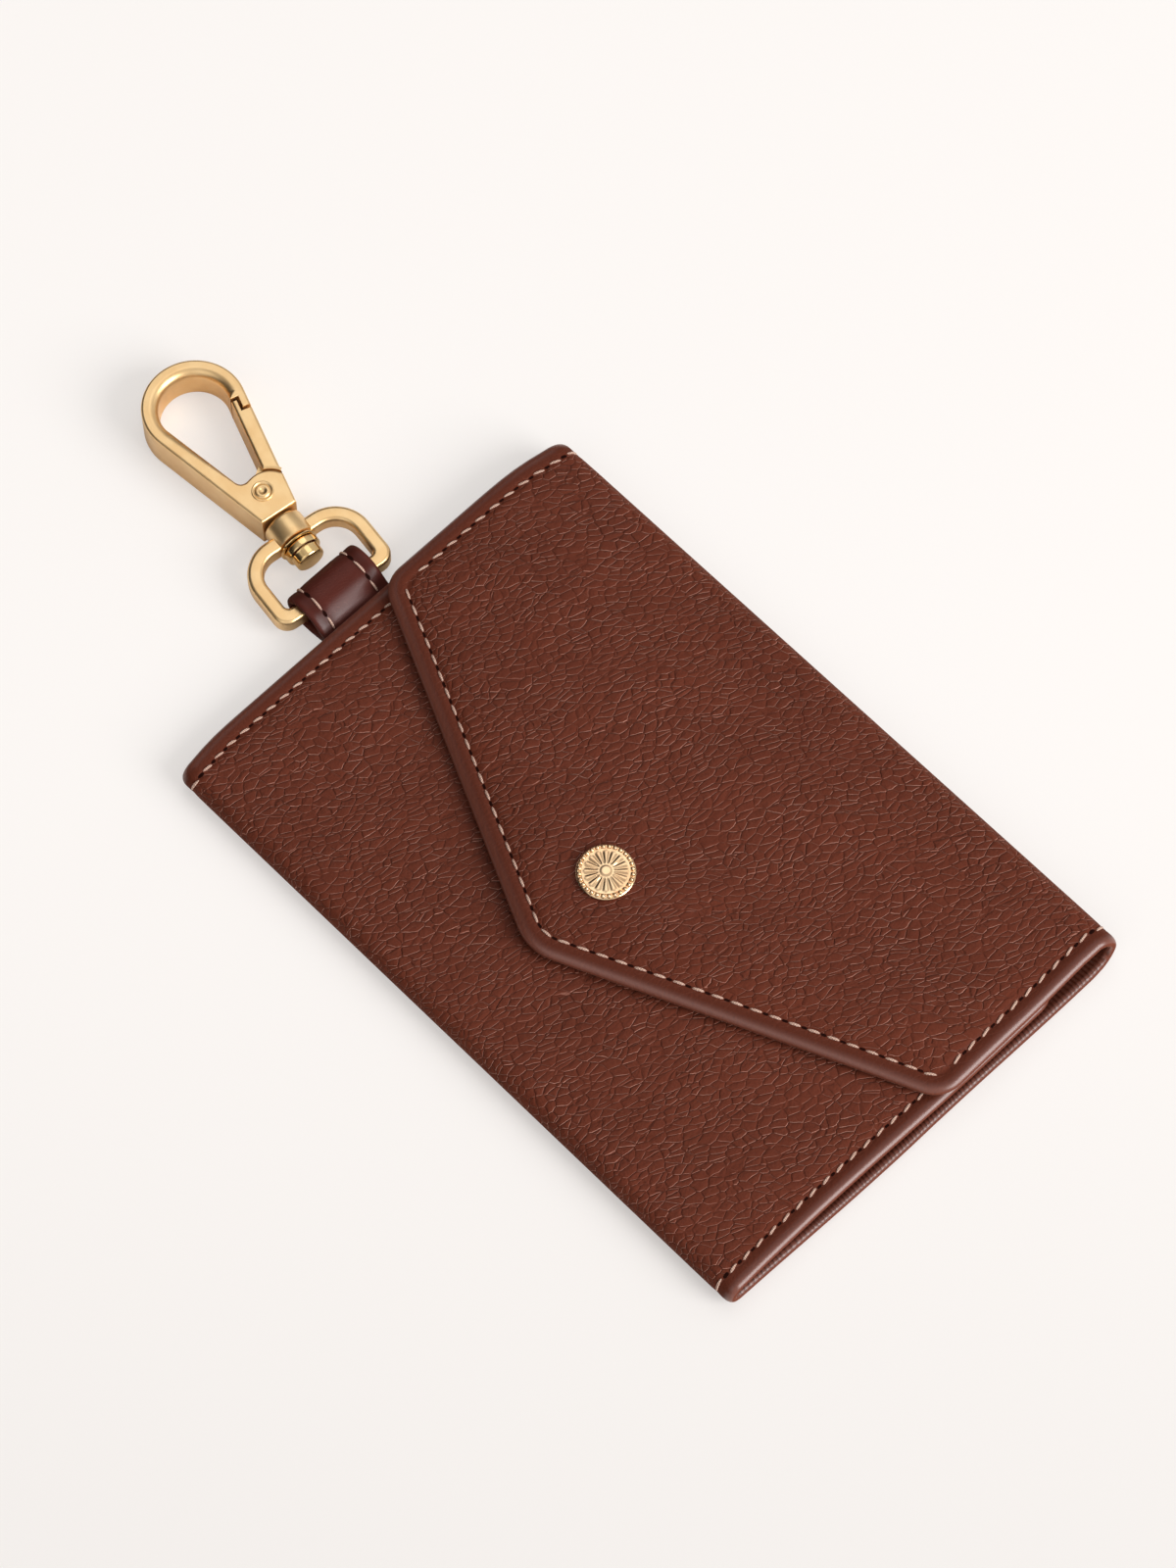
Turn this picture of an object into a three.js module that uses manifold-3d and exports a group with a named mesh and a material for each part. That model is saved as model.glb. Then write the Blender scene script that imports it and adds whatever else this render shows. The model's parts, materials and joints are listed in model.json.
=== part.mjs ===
// A small envelope purse in turned-edge leather. A pointed flap closes over the front with a snap, folded
// gussets let the front open, and a leather tab on one short side carries a swivel ring with a trigger hook.
// Millimetres. The origin is the middle of the flat back. +X runs along the top fold, away from the hook,
// +Y runs up to the top fold and +Z runs out of the front.

import * as THREE from 'three';
import { mergeVertices } from 'three/addons/utils/BufferGeometryUtils.js';
import Module from 'manifold-3d';

const wasm = await Module();
wasm.setup();

// Purse: outer size, and the layers of one finished wall
const PURSE_LENGTH = 108;
const PURSE_HEIGHT = 73.5;
const WALL = 1.7; // leather, board and lining together, which is also the thickness of a turned edge
const SKIN = 0.85; // the outer leather alone
const LINER = 0.32; // the lining, and the board under it
const GLUE_LINE = 0.1; // left free between glued layers
const TURN_IN = 6; // width of the leather turned over behind an edge
const POCKET_GAP = 1.1; // between the back and the front at the side seams
const FLAP_GAP = 0.2; // between the front and the flap along the sides
const MOUTH_Y = 26; // edge of the front, under the flap
const FRONT_CROWN = 0.6; // how far the front swells in the middle
const FLAP_CROWN = 2.25; // how far the snap lifts the flap
const FOLD_GAP = 0.1; // between a fold and the walls that it joins

// Flap: a wide V with a rounded point
const FLAP_SLOPE = THREE.MathUtils.degToRad(24.6);
const FLAP_POINT_Y = -22; // where the two straight edges would meet
const FLAP_POINT_R = 8;
const FLAP_CORNER_R = 5;

// Gusset: a strip folded inwards between the side seams
const GUSSET_LEATHER = 0.3;
const GUSSET_DEPTH = 11;
const GUSSET_INSET = 0.5; // from the purse's edge

// Snap
const SNAP_Y = -7;
const CAP_R = 4.1;
const CAP_HEIGHT = 0.95;
const CAP_RIM = 0.52; // height of the cap's side
const CAP_EDGE = 0.25;
const CAP_CROWN_R = 2.05; // the flat in the middle of the cap
const POST_R = 1.1;
const HOLE_R = 1.3;
const SOCKET_R = 3.7;
const SOCKET_HEIGHT = 1.15;
const SOCKET_DROP = 0.25; // from the flap's highest lining, which falls away round the snap
const SOCKET_BORE_R = 2.1;
const SOCKET_ROOF = 0.15;
const SOCKET_EDGE = 0.5;
const SOCKET_GROOVE_R = 2.5;
const SOCKET_GROOVE = 0.45; // the groove's height, and the height of the lip under it
const STUD_R = 3.3;
const STUD_FLANGE = 0.25;
const STUD_BALL_R = 1.75;
const STUD_NECK = 0.3; // height of the neck, and how far it is drawn in
const STUD_POST_R = 0.66;
const STUD_HEIGHT = 1.25;
const EYELET_R = 3.6;
const EYELET_FLANGE = 0.35;
const SNAP_CLEARANCE = 0.1;
const SPRING_WIRE_R = 0.13;
const SPRING_RING_R = 2.22;
const SPRING_SPLIT = 0.35; // half angle of the gap in the ring

// Tab on the left short side
const TAB_WIDTH = 12.4;
const TAB_Y = -1.95;
const TAB_LEATHER = 1.14;
const TAB_HOLLOW_R = 1.66;
const TAB_HOLLOW_HALF = 0.8; // the hollow is a slot: half the distance between its end centres
const TAB_TAIL = 7.5; // length sewn into the seam
const TAB_TAIL_FLOOR = 0.7;
const TAB_TAIL_THICK = 0.95;

// Clasp: place and direction of the swivel axis, and heights from the table
const BAR_X = -58.6;
const AXIS_Z = 3.1;
const CLASP_TURN = THREE.MathUtils.degToRad(172); // direction of the hook from the ring's bar

// Ring: a bar, two arms and an arch with a boss at its top. Distances run from the bar along the axis
const RING_HALF = 9.75;
const RING_BAND = 2.3;
const RING_BAR = 2.2;
const RING_THICK = 2.8;
const RING_EDGE = 0.55;
const RING_TOP = 11.5; // outside of the arch
const RING_SHOULDER_R = 5.8;
const RING_CORNER_R = 2.2;
const BOSS_R = 2.8;
const BOSS_START = 9.25;
const BOSS_END = 13.1;
const STEM_R = 1.2;
const STEM_BORE_R = 1.32;
const STEM_END = 14.5;
// End of the stem inside the ring
const BUTTON = { tip: 5.8, tipR: 1.75, step: 7.4, headR: 2.3, seat: 8.6, bevel: 0.15 };
const COLLAR = { start: 8.72, end: 9.1, rimR: 2.7, bevel: 0.1 }; // loose washer between the button and the boss

// Hook: a teardrop with a straight gate on one side
const HOOK_BASE = 13.4;
const HOOK_BASE_HALF = 2.9;
const HOOK_BOW = 34.2; // centre of the round end
const HOOK_BOW_R = 7.5;
const HOOK_BAND = 2.4;
const HOOK_THICK = 6.2;
const HOOK_EDGE = 0.45;
const PIVOT = 17.4;
const PIN_R = 0.8;
const PIN_HEAD_R = 1.45;
const PIN_HEAD_FACE = 3.0;
const PIN_HEAD_SEAT = 2.62;
const RUNNING = 0.12; // radial clearance on a turning pin
const PIN_EDGE = 0.14;
const PIN_DIMPLE_R = 0.55;
const CHEEK_CENTRE = new THREE.Vector2(16.6, -0.6);
const CHEEK_R = 3.7; // round end of the cheeks that hold the gate
const FILLET = { from: 21, corner: 19.7 }; // where the fixed side runs into the cheeks
const NOSE_LIP = 16.8; // along the gate side from the base to the outer half of the nose
const NOSE_STEP = 18.6; // and to its inner half
const NOSE_SPLIT = 1.25; // depth of the outer half
const GATE_GAP = 0.3;
const GATE_SHARE = 0.92; // the gate is a little thinner than the hook
const EYE_R = 2.3;
const EYE_THICK = 2.6;
const EYE_POCKET_R = 1.6;
const EYE_POCKET_THICK = 2.0;
const TONGUE_HALF = 1.3;
const TONGUE_ROOT = 7.2; // along the gate side from the base
const SLOT_THICK = 2.9;
const SLOT_R = 2.6;
const SLOT_REACH = 4.6;
const GATE_SWING = THREE.MathUtils.degToRad(26);

// Gate spring: a short coil round the pin
const COIL_R = 1.22;
const COIL_WIRE_R = 0.16;
const COIL_PITCH = 0.8;
const COIL_TURNS = 2;

const HALF_LENGTH = PURSE_LENGTH / 2;
const FRONT_FLOOR = WALL + POCKET_GAP;
const FRONT_TOP = FRONT_FLOOR + WALL;
const FLAP_FLOOR = FRONT_TOP + FLAP_GAP;
const FLAP_TOP = FLAP_FLOOR + WALL;
const TOP_FOLD_R = FLAP_TOP / 2;
const BOTTOM_FOLD_R = FRONT_TOP / 2;
const TOP_FOLD_Y = PURSE_HEIGHT / 2 - TOP_FOLD_R;
const BOTTOM_FOLD_Y = BOTTOM_FOLD_R - PURSE_HEIGHT / 2;
const RECESS = WALL - SKIN;

// Materials of the real object
const leatherLook = { color: 0x5f3127, roughness: 0.55, metalness: 0 };
const gussetLook = { color: 0x4a241d, roughness: 0.45, metalness: 0 };
const liningLook = { color: 0x6b4a3a, roughness: 0.85, metalness: 0 };
const boardLook = { color: 0x9c8b74, roughness: 0.9, metalness: 0 };
const goldLook = { color: 0xe0b878, roughness: 0.28, metalness: 1 };
const roseLook = { color: 0xdfae86, roughness: 0.3, metalness: 1 };
const steelLook = { color: 0xb9bbbe, roughness: 0.3, metalness: 1 };

// Closed solids from three.js geometry, and back

function toSolid(geometry) {
  const bare = geometry.clone();
  bare.deleteAttribute('normal');
  bare.deleteAttribute('uv');
  const merged = mergeVertices(bare, 1e-4);
  const index = merged.index.array;
  const faces = [];
  for (let i = 0; i < index.length; i += 3) {
    const [a, b, c] = [index[i], index[i + 1], index[i + 2]];
    if (a !== b && b !== c && c !== a) faces.push(a, b, c);
  }
  const vertProperties = new Float32Array(merged.attributes.position.array);
  return new wasm.Manifold(new wasm.Mesh({ numProp: 3, vertProperties, triVerts: new Uint32Array(faces) }));
}

function toGeometry(solid) {
  const { vertProperties, triVerts } = solid.getMesh();
  const geometry = new THREE.BufferGeometry();
  geometry.setAttribute('position', new THREE.BufferAttribute(new Float32Array(vertProperties), 3));
  geometry.setIndex(new THREE.BufferAttribute(new Uint32Array(triVerts), 1));
  geometry.computeVertexNormals();
  return geometry;
}

function part(name, solid, look) {
  const mesh = new THREE.Mesh(toGeometry(solid), new THREE.MeshStandardMaterial(look));
  mesh.name = name;
  return mesh;
}

// A plan outline given a height from z = low to z = high
function plate(shape, low, high, curveSegments = 12) {
  const geometry = new THREE.ExtrudeGeometry(shape, { depth: high - low, bevelEnabled: false, curveSegments });
  return toSolid(geometry.translate(0, 0, low));
}

function rectangle(left, right, bottom, top) {
  const corners = [[left, bottom], [right, bottom], [right, top], [left, top]];
  return new THREE.Shape(corners.map(([x, y]) => new THREE.Vector2(x, y)));
}

// A profile drawn in (y, z), run along +X from x = start
function alongX(shape, start, length, curveSegments = 8) {
  const geometry = new THREE.ExtrudeGeometry(shape, { depth: length, bevelEnabled: false, curveSegments });
  const [x, y, z] = [new THREE.Vector3(1, 0, 0), new THREE.Vector3(0, 1, 0), new THREE.Vector3(0, 0, 1)];
  geometry.applyMatrix4(new THREE.Matrix4().makeBasis(y, z, x));
  return toSolid(geometry.translate(start, 0, 0));
}

// A profile drawn in (x, z), run along +Y from y = start
function alongY(shape, start, length, curveSegments = 8) {
  const geometry = new THREE.ExtrudeGeometry(shape, { depth: length, bevelEnabled: false, curveSegments });
  return toSolid(geometry.rotateX(Math.PI / 2).translate(0, start + length, 0));
}

// A profile of [radius, height] turned about Z, from bottom to top
function turned(profile, sides = 24) {
  const points = profile.map(([radius, height]) => new THREE.Vector2(radius, height));
  return toSolid(new THREE.LatheGeometry(points, sides).rotateX(Math.PI / 2));
}

function cylinder(radius, low, high, sides = 24) {
  return turned([[0, low], [radius, low], [radius, high], [0, high]], sides);
}

// A closed sheet over a plan: columns are x stations, and each column runs in even rows from one y to another
function sheet(columns, rows, yFrom, yTo, floor, thickness) {
  const points = [];
  const faces = [];
  const count = columns.length * (rows + 1);
  const at = (i, j) => i * (rows + 1) + j;
  for (const lift of [thickness, 0]) {
    for (const x of columns) {
      for (let j = 0; j <= rows; j += 1) {
        const y = THREE.MathUtils.lerp(yFrom(x), yTo(x), j / rows);
        points.push(x, y, floor(x, y) + lift);
      }
    }
  }
  const quad = (a, b, c, d) => faces.push(a, b, c, a, c, d);
  for (let i = 0; i + 1 < columns.length; i += 1) {
    for (let j = 0; j < rows; j += 1) {
      const corners = [at(i, j), at(i, j + 1), at(i + 1, j + 1), at(i + 1, j)];
      quad(...corners);
      quad(...corners.reverse().map((k) => k + count));
    }
    for (const [j, near, far] of [[0, i, i + 1], [rows, i + 1, i]]) {
      quad(at(near, j), at(far, j), at(far, j) + count, at(near, j) + count);
    }
  }
  for (let j = 0; j < rows; j += 1) {
    for (const [i, near, far] of [[0, j + 1, j], [columns.length - 1, j, j + 1]]) {
      quad(at(i, near), at(i, far), at(i, far) + count, at(i, near) + count);
    }
  }
  const geometry = new THREE.BufferGeometry();
  geometry.setAttribute('position', new THREE.Float32BufferAttribute(points, 3));
  geometry.setIndex(faces);
  return toSolid(geometry);
}

// X stations from -half to half, closer together at the middle and at the two ends
function stations(half, perSide) {
  const crowding = 0.8;
  const columns = [];
  for (let i = -perSide; i <= perSide; i += 1) {
    const t = i / perSide;
    columns.push(half * (t - (crowding * Math.sin(2 * Math.PI * t)) / (2 * Math.PI)));
  }
  return columns;
}

const dome = (t) => Math.max(0, 1 - t * t);

// Purse walls

function frontSwell(x, y) {
  const middle = (MOUTH_Y + BOTTOM_FOLD_Y) / 2;
  const reach = (MOUTH_Y - BOTTOM_FOLD_Y) / 2;
  return FRONT_CROWN * dome(x / HALF_LENGTH) * dome((y - middle) / reach);
}

// Lower edge of the flap, drawn in by inset from the finished edge
function flapEdge(x, inset) {
  const away = Math.abs(x);
  const side = HALF_LENGTH - inset;
  const point = FLAP_POINT_Y + inset / Math.cos(FLAP_SLOPE);
  const pointR = FLAP_POINT_R - inset;
  const cornerR = Math.max(FLAP_CORNER_R - inset, 1);
  if (away < pointR * Math.sin(FLAP_SLOPE)) {
    return point + pointR / Math.cos(FLAP_SLOPE) - Math.sqrt(pointR ** 2 - away ** 2);
  }
  const cornerX = side - cornerR;
  if (away > cornerX + cornerR * Math.sin(FLAP_SLOPE)) {
    const cornerY = point + cornerX * Math.tan(FLAP_SLOPE) + cornerR / Math.cos(FLAP_SLOPE);
    return cornerY - Math.sqrt(Math.max(0, cornerR ** 2 - (away - cornerX) ** 2));
  }
  return point + away * Math.tan(FLAP_SLOPE);
}

// The snap holds the flap up, and its edges sink back towards the front
function flapSwell(x, y) {
  const edgeSink = 0.55;
  const share = (TOP_FOLD_Y - y) / (TOP_FOLD_Y - flapEdge(x, 0));
  const snapShare = (TOP_FOLD_Y - SNAP_Y) / (TOP_FOLD_Y - flapEdge(0, 0));
  const past = (share - snapShare) / (1 - snapShare);
  const along = past < 0 ? Math.sin((Math.PI / 2) * (share / snapShare)) : 1 - edgeSink * past * past;
  return FLAP_CROWN * dome(x / HALF_LENGTH) * along;
}

const snapHole = cylinder(HOLE_R, -1, 12, 16).translate([0, SNAP_Y, 0]);

function frontLayer(inset, low, thickness, perSide) {
  const top = MOUTH_Y - inset;
  const bottom = BOTTOM_FOLD_Y + (inset > 0 ? WALL : FOLD_GAP);
  const floor = (x, y) => FRONT_FLOOR + low + frontSwell(x, y);
  return sheet(stations(HALF_LENGTH - inset, perSide), 6, () => top, () => bottom, floor, thickness);
}

function flapLayer(inset, low, thickness, perSide, rows) {
  const top = TOP_FOLD_Y - (inset > 0 ? WALL : FOLD_GAP);
  const floor = (x, y) => FLAP_FLOOR + low + flapSwell(x, y);
  const columns = stations(HALF_LENGTH - inset, perSide);
  return sheet(columns, rows, () => top, (x) => flapEdge(x, inset), floor, thickness);
}

function backLayer(inset, low, high) {
  const left = inset - HALF_LENGTH;
  const bottom = BOTTOM_FOLD_Y + (inset > 0 ? WALL : FOLD_GAP);
  const top = TOP_FOLD_Y - (inset > 0 ? WALL : FOLD_GAP);
  return plate(rectangle(left, -left, bottom, top), low, high);
}

const BOARD_LOW = LINER + GLUE_LINE; // height of the board above the lining's face
const LAYER_INSET = TURN_IN + FOLD_GAP;

// Room for the tab's sewn end in the back's left seam
function tabRoom(low) {
  const end = TAB_TAIL + 2 * FOLD_GAP - HALF_LENGTH;
  const half = TAB_WIDTH / 2 + FOLD_GAP;
  return plate(rectangle(-HALF_LENGTH - 1, end, TAB_Y - half, TAB_Y + half), low, FRONT_TOP);
}

function backPanel() {
  const recess = backLayer(TURN_IN, SKIN, FRONT_TOP);
  return backLayer(0, 0, WALL).subtract(recess).subtract(tabRoom(TAB_TAIL_FLOOR - FOLD_GAP));
}

function backFilling(low, high) {
  return backLayer(LAYER_INSET, low, high).subtract(tabRoom(0));
}

function frontPanel() {
  return frontLayer(0, 0, WALL, 8).subtract(frontLayer(TURN_IN, -1, 1 + RECESS, 8)).subtract(snapHole);
}

function flapPanel() {
  return flapLayer(0, 0, WALL, 12, 8).subtract(flapLayer(TURN_IN, -1, 1 + RECESS, 10, 8)).subtract(snapHole);
}

// A half-round fold: an arc of the wall's thickness, on the side given by turn
function fold(centreY, outerR, turn) {
  const innerR = outerR - WALL;
  const profile = new THREE.Shape();
  profile.absarc(0, 0, outerR, -Math.PI / 2, Math.PI / 2, false);
  profile.absarc(0, 0, innerR, Math.PI / 2, -Math.PI / 2, true);
  const solid = alongX(profile, -HALF_LENGTH, PURSE_LENGTH);
  const faced = turn > 0 ? solid : solid.rotate([0, 0, 180]);
  return faced.translate([0, centreY, outerR]);
}

// Two leaves that meet at a fold inside the purse and open at the seam
function gusset(side) {
  const seam = HALF_LENGTH - GUSSET_INSET;
  const deep = seam - GUSSET_DEPTH;
  const low = WALL + GLUE_LINE;
  const high = FRONT_FLOOR - GLUE_LINE;
  const profile = new THREE.Shape();
  profile.moveTo(seam, low);
  profile.lineTo(seam, low + GUSSET_LEATHER);
  profile.lineTo(deep + GUSSET_LEATHER, low + GUSSET_LEATHER);
  profile.lineTo(deep + GUSSET_LEATHER, high - GUSSET_LEATHER);
  profile.lineTo(seam, high - GUSSET_LEATHER);
  profile.lineTo(seam, high);
  profile.lineTo(deep, high);
  profile.lineTo(deep, low);
  const bottom = BOTTOM_FOLD_Y + BOTTOM_FOLD_R / 2;
  const strip = alongY(profile, bottom, MOUTH_Y - bottom);
  return side > 0 ? strip : strip.rotate([0, 180, 0]).translate([0, 0, WALL + FRONT_FLOOR]);
}

// The tab: a strip sewn into the left seam and bent round the ring's bar
function tabLoop() {
  const outerR = TAB_HOLLOW_R + TAB_LEATHER;
  const left = BAR_X - TAB_HOLLOW_HALF;
  const right = BAR_X + TAB_HOLLOW_HALF;
  const tailEnd = TAB_TAIL - HALF_LENGTH;
  const tailTop = TAB_TAIL_FLOOR + TAB_TAIL_THICK;
  const neck = -HALF_LENGTH - GATE_GAP;
  const shoulder = Math.PI / 8;
  const profile = new THREE.Shape();
  profile.moveTo(tailEnd, TAB_TAIL_FLOOR);
  profile.lineTo(tailEnd, tailTop);
  profile.lineTo(neck, tailTop);
  profile.absarc(right, AXIS_Z, outerR, shoulder, Math.PI / 2, false);
  profile.absarc(left, AXIS_Z, outerR, Math.PI / 2, -Math.PI / 2, false);
  profile.lineTo(right, AXIS_Z - outerR);
  profile.lineTo(neck, TAB_TAIL_FLOOR);
  const hollow = new THREE.Path();
  hollow.absarc(right, AXIS_Z, TAB_HOLLOW_R, -Math.PI / 2, Math.PI / 2, false);
  hollow.absarc(left, AXIS_Z, TAB_HOLLOW_R, Math.PI / 2, -Math.PI / 2, false);
  profile.holes.push(hollow);
  return alongY(profile, TAB_Y - TAB_WIDTH / 2, TAB_WIDTH, 6);
}

// Snap: a cap and a socket on the flap, a stud and an eyelet on the front

const studSeat = FRONT_TOP + frontSwell(0, SNAP_Y);
const flapSeat = FLAP_FLOOR + flapSwell(0, SNAP_Y);

function snapCap() {
  const face = flapSeat + WALL + GLUE_LINE;
  const top = face + CAP_HEIGHT;
  const foot = flapSeat - SNAP_CLEARANCE / 2;
  return turned([
    [0, foot], [POST_R, foot], [POST_R, face], [CAP_R - CAP_EDGE, face], [CAP_R, face + CAP_EDGE],
    [CAP_R, face + CAP_RIM], [CAP_R - CAP_EDGE, face + CAP_RIM + CAP_EDGE], [CAP_CROWN_R, top], [0, top],
  ]).translate([0, SNAP_Y, 0]);
}

const socketTop = flapSeat - SOCKET_DROP;
const socketFoot = socketTop - SOCKET_HEIGHT;

function snapSocket() {
  const roof = socketTop - SOCKET_ROOF;
  const grooveLow = socketFoot + SOCKET_GROOVE;
  const grooveHigh = grooveLow + SOCKET_GROOVE;
  return turned([
    [0, roof], [SOCKET_BORE_R, roof], [SOCKET_BORE_R, grooveHigh], [SOCKET_GROOVE_R, grooveHigh],
    [SOCKET_GROOVE_R, grooveLow], [SOCKET_BORE_R, grooveLow], [SOCKET_BORE_R, socketFoot],
    [SOCKET_R - SOCKET_EDGE, socketFoot], [SOCKET_R, socketFoot + SOCKET_EDGE], [SOCKET_R, socketTop],
    [0, socketTop],
  ]).translate([0, SNAP_Y, 0]);
}

// A split wire ring that lies loose in the middle of the socket's groove
function snapSpring() {
  const height = socketFoot + 1.5 * SOCKET_GROOVE;
  const points = 16;
  const route = new THREE.CatmullRomCurve3(
    Array.from({ length: points + 1 }, (_, i) => {
      const angle = THREE.MathUtils.lerp(SPRING_SPLIT, 2 * Math.PI - SPRING_SPLIT, i / points);
      return new THREE.Vector3(SPRING_RING_R * Math.cos(angle), SPRING_RING_R * Math.sin(angle), height);
    }),
  );
  return wire(route, SPRING_WIRE_R, 20, 6).translate([0, SNAP_Y, 0]);
}

function snapStud() {
  const face = studSeat + GLUE_LINE;
  const foot = studSeat - SKIN;
  const neckR = STUD_BALL_R - STUD_NECK;
  const flange = face + STUD_FLANGE;
  const top = face + STUD_HEIGHT;
  const crown = STUD_NECK * 2;
  return turned([
    [0, foot], [STUD_POST_R, foot], [STUD_POST_R, face], [STUD_R, face], [STUD_R, face + STUD_FLANGE / 2],
    [STUD_R - STUD_FLANGE, flange], [neckR, flange], [neckR, flange + STUD_NECK], [STUD_BALL_R, top - STUD_NECK],
    [STUD_BALL_R - crown / 4, top - STUD_NECK / 2], [STUD_BALL_R - crown, top], [0, top],
  ]).translate([0, SNAP_Y, 0]);
}

function snapEyelet() {
  const face = FRONT_FLOOR + frontSwell(0, SNAP_Y) - GLUE_LINE;
  const foot = face - EYELET_FLANGE;
  const barrelTop = studSeat - GLUE_LINE;
  const boreR = STUD_POST_R + SNAP_CLEARANCE;
  const boreFloor = studSeat - SKIN - SNAP_CLEARANCE;
  return turned([
    [0, foot], [EYELET_R - EYELET_FLANGE / 2, foot], [EYELET_R, foot + EYELET_FLANGE / 2], [EYELET_R, face],
    [POST_R, face], [POST_R, barrelTop], [boreR, barrelTop], [boreR, boreFloor], [0, boreFloor],
  ]).translate([0, SNAP_Y, 0]);
}

// A round wire along a route
function wire(route, radius, steps, sides) {
  const section = new THREE.Shape();
  for (let i = 0; i < sides; i += 1) {
    const angle = (2 * Math.PI * i) / sides;
    const [x, y] = [radius * Math.cos(angle), radius * Math.sin(angle)];
    if (i === 0) section.moveTo(x, y);
    else section.lineTo(x, y);
  }
  section.closePath();
  return toSolid(new THREE.ExtrudeGeometry(section, { steps, bevelEnabled: false, extrudePath: route }));
}

// Clasp, drawn in its own plane: x runs from the ring's bar to the hook, z = 0 is the middle of its thickness

// A plan outline with rounded edges, and z = 0 in the middle of its thickness
function rounded(shape, thickness, edge, curveSegments) {
  const depth = thickness - 2 * edge;
  const bevel = { bevelThickness: edge, bevelSize: edge, bevelOffset: -edge, bevelSegments: 2 };
  const geometry = new THREE.ExtrudeGeometry(shape, { depth, curveSegments, ...bevel });
  return toSolid(geometry.translate(0, 0, -depth / 2));
}

// The hollow that cuts an opening through that thickness, with a chamfer at both faces
function flared(shape, thickness, edge, curveSegments) {
  const settings = { depth: edge, curveSegments, bevelThickness: edge, bevelSize: edge, bevelSegments: 1 };
  const rim = toSolid(new THREE.ExtrudeGeometry(shape, settings).translate(0, 0, thickness / 2));
  return plate(shape, -thickness, thickness, curveSegments).add(rim).add(rim.mirror([0, 0, 1]));
}

// A cylinder along the clasp's axis
function axial(radius, from, to, sides = 24) {
  return cylinder(radius, from, to, sides).rotate([0, 90, 0]);
}

function swivelRing() {
  const back = -RING_BAR / 2;
  const side = RING_HALF - RING_CORNER_R;
  const shoulderX = RING_TOP - RING_SHOULDER_R;
  const shoulderY = RING_HALF - RING_SHOULDER_R;
  const outline = new THREE.Shape();
  outline.absarc(shoulderX, -shoulderY, RING_SHOULDER_R, -Math.PI / 2, 0, false);
  outline.absarc(shoulderX, shoulderY, RING_SHOULDER_R, 0, Math.PI / 2, false);
  outline.absarc(back + RING_CORNER_R, side, RING_CORNER_R, Math.PI / 2, Math.PI, false);
  outline.absarc(back + RING_CORNER_R, -side, RING_CORNER_R, Math.PI, 1.5 * Math.PI, false);
  const innerR = RING_SHOULDER_R - RING_BAND;
  const innerSide = RING_HALF - RING_BAND;
  const opening = new THREE.Shape();
  opening.absarc(shoulderX, -shoulderY, innerR, -Math.PI / 2, 0, false);
  opening.absarc(shoulderX, shoulderY, innerR, 0, Math.PI / 2, false);
  opening.lineTo(-back, innerSide);
  opening.lineTo(-back, -innerSide);
  return rounded(outline, RING_THICK, RING_EDGE, 10)
    .subtract(flared(opening, RING_THICK, RING_EDGE, 10))
    .add(axial(BOSS_R, BOSS_START, BOSS_END))
    .subtract(axial(STEM_BORE_R, BOSS_START - 1, BOSS_END + 1));
}

function swivelStud() {
  const { tip, tipR, step, headR, seat, bevel } = BUTTON;
  return turned([
    [0, tip], [tipR - bevel, tip], [tipR, tip + bevel], [tipR, step], [headR - bevel, step], [headR, step + bevel],
    [headR, seat], [STEM_R, seat], [STEM_R, STEM_END], [0, STEM_END],
  ]).rotate([0, 90, 0]);
}

function swivelCollar() {
  const { start, end, rimR, bevel } = COLLAR;
  return turned([
    [STEM_BORE_R, start], [rimR - bevel, start], [rimR, start + bevel], [rimR, end - bevel], [rimR - bevel, end],
    [STEM_BORE_R, end], [STEM_BORE_R, start],
  ]).rotate([0, 90, 0]);
}

// Half angle between the hook's two sides, which are tangents from the base to the round end
const hookReach = HOOK_BOW - HOOK_BASE;
const cornerReach = Math.hypot(hookReach, HOOK_BASE_HALF);
const hookLean = Math.asin(HOOK_BOW_R / cornerReach) - Math.atan(HOOK_BASE_HALF / hookReach);

// The whole teardrop, before the gate is parted from it
function teardrop() {
  const turn = Math.PI / 2 + hookLean;
  const outline = new THREE.Shape();
  outline.moveTo(HOOK_BASE, HOOK_BASE_HALF);
  outline.lineTo(HOOK_BASE, -HOOK_BASE_HALF);
  outline.absarc(HOOK_BOW, 0, HOOK_BOW_R, -turn, turn, false);
  const innerR = HOOK_BOW_R - HOOK_BAND;
  const half = (x) => (innerR - (HOOK_BOW - x) * Math.sin(hookLean)) / Math.cos(hookLean);
  const [cheekStart, cheekEnd] = [0.25, -0.34];
  const opening = new THREE.Shape();
  opening.absarc(HOOK_BOW, 0, innerR, -turn, turn, false);
  opening.lineTo(FILLET.from, half(FILLET.from));
  const filletEnd = new THREE.Vector2(CHEEK_R, 0).rotateAround(new THREE.Vector2(), cheekStart).add(CHEEK_CENTRE);
  opening.quadraticCurveTo(FILLET.corner, half(FILLET.corner), filletEnd.x, filletEnd.y);
  opening.absarc(CHEEK_CENTRE.x, CHEEK_CENTRE.y, CHEEK_R, cheekStart, cheekEnd, true);
  return rounded(outline, HOOK_THICK, HOOK_EDGE, 12).subtract(flared(opening, HOOK_THICK, HOOK_EDGE, 12));
}

// A point on the gate side: distance along from the base, and depth in from the outer edge
function gateSide(along, depth) {
  return new THREE.Vector2(
    HOOK_BASE + along * Math.cos(hookLean) + depth * Math.sin(hookLean),
    -HOOK_BASE_HALF - along * Math.sin(hookLean) + depth * Math.cos(hookLean),
  );
}

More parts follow.
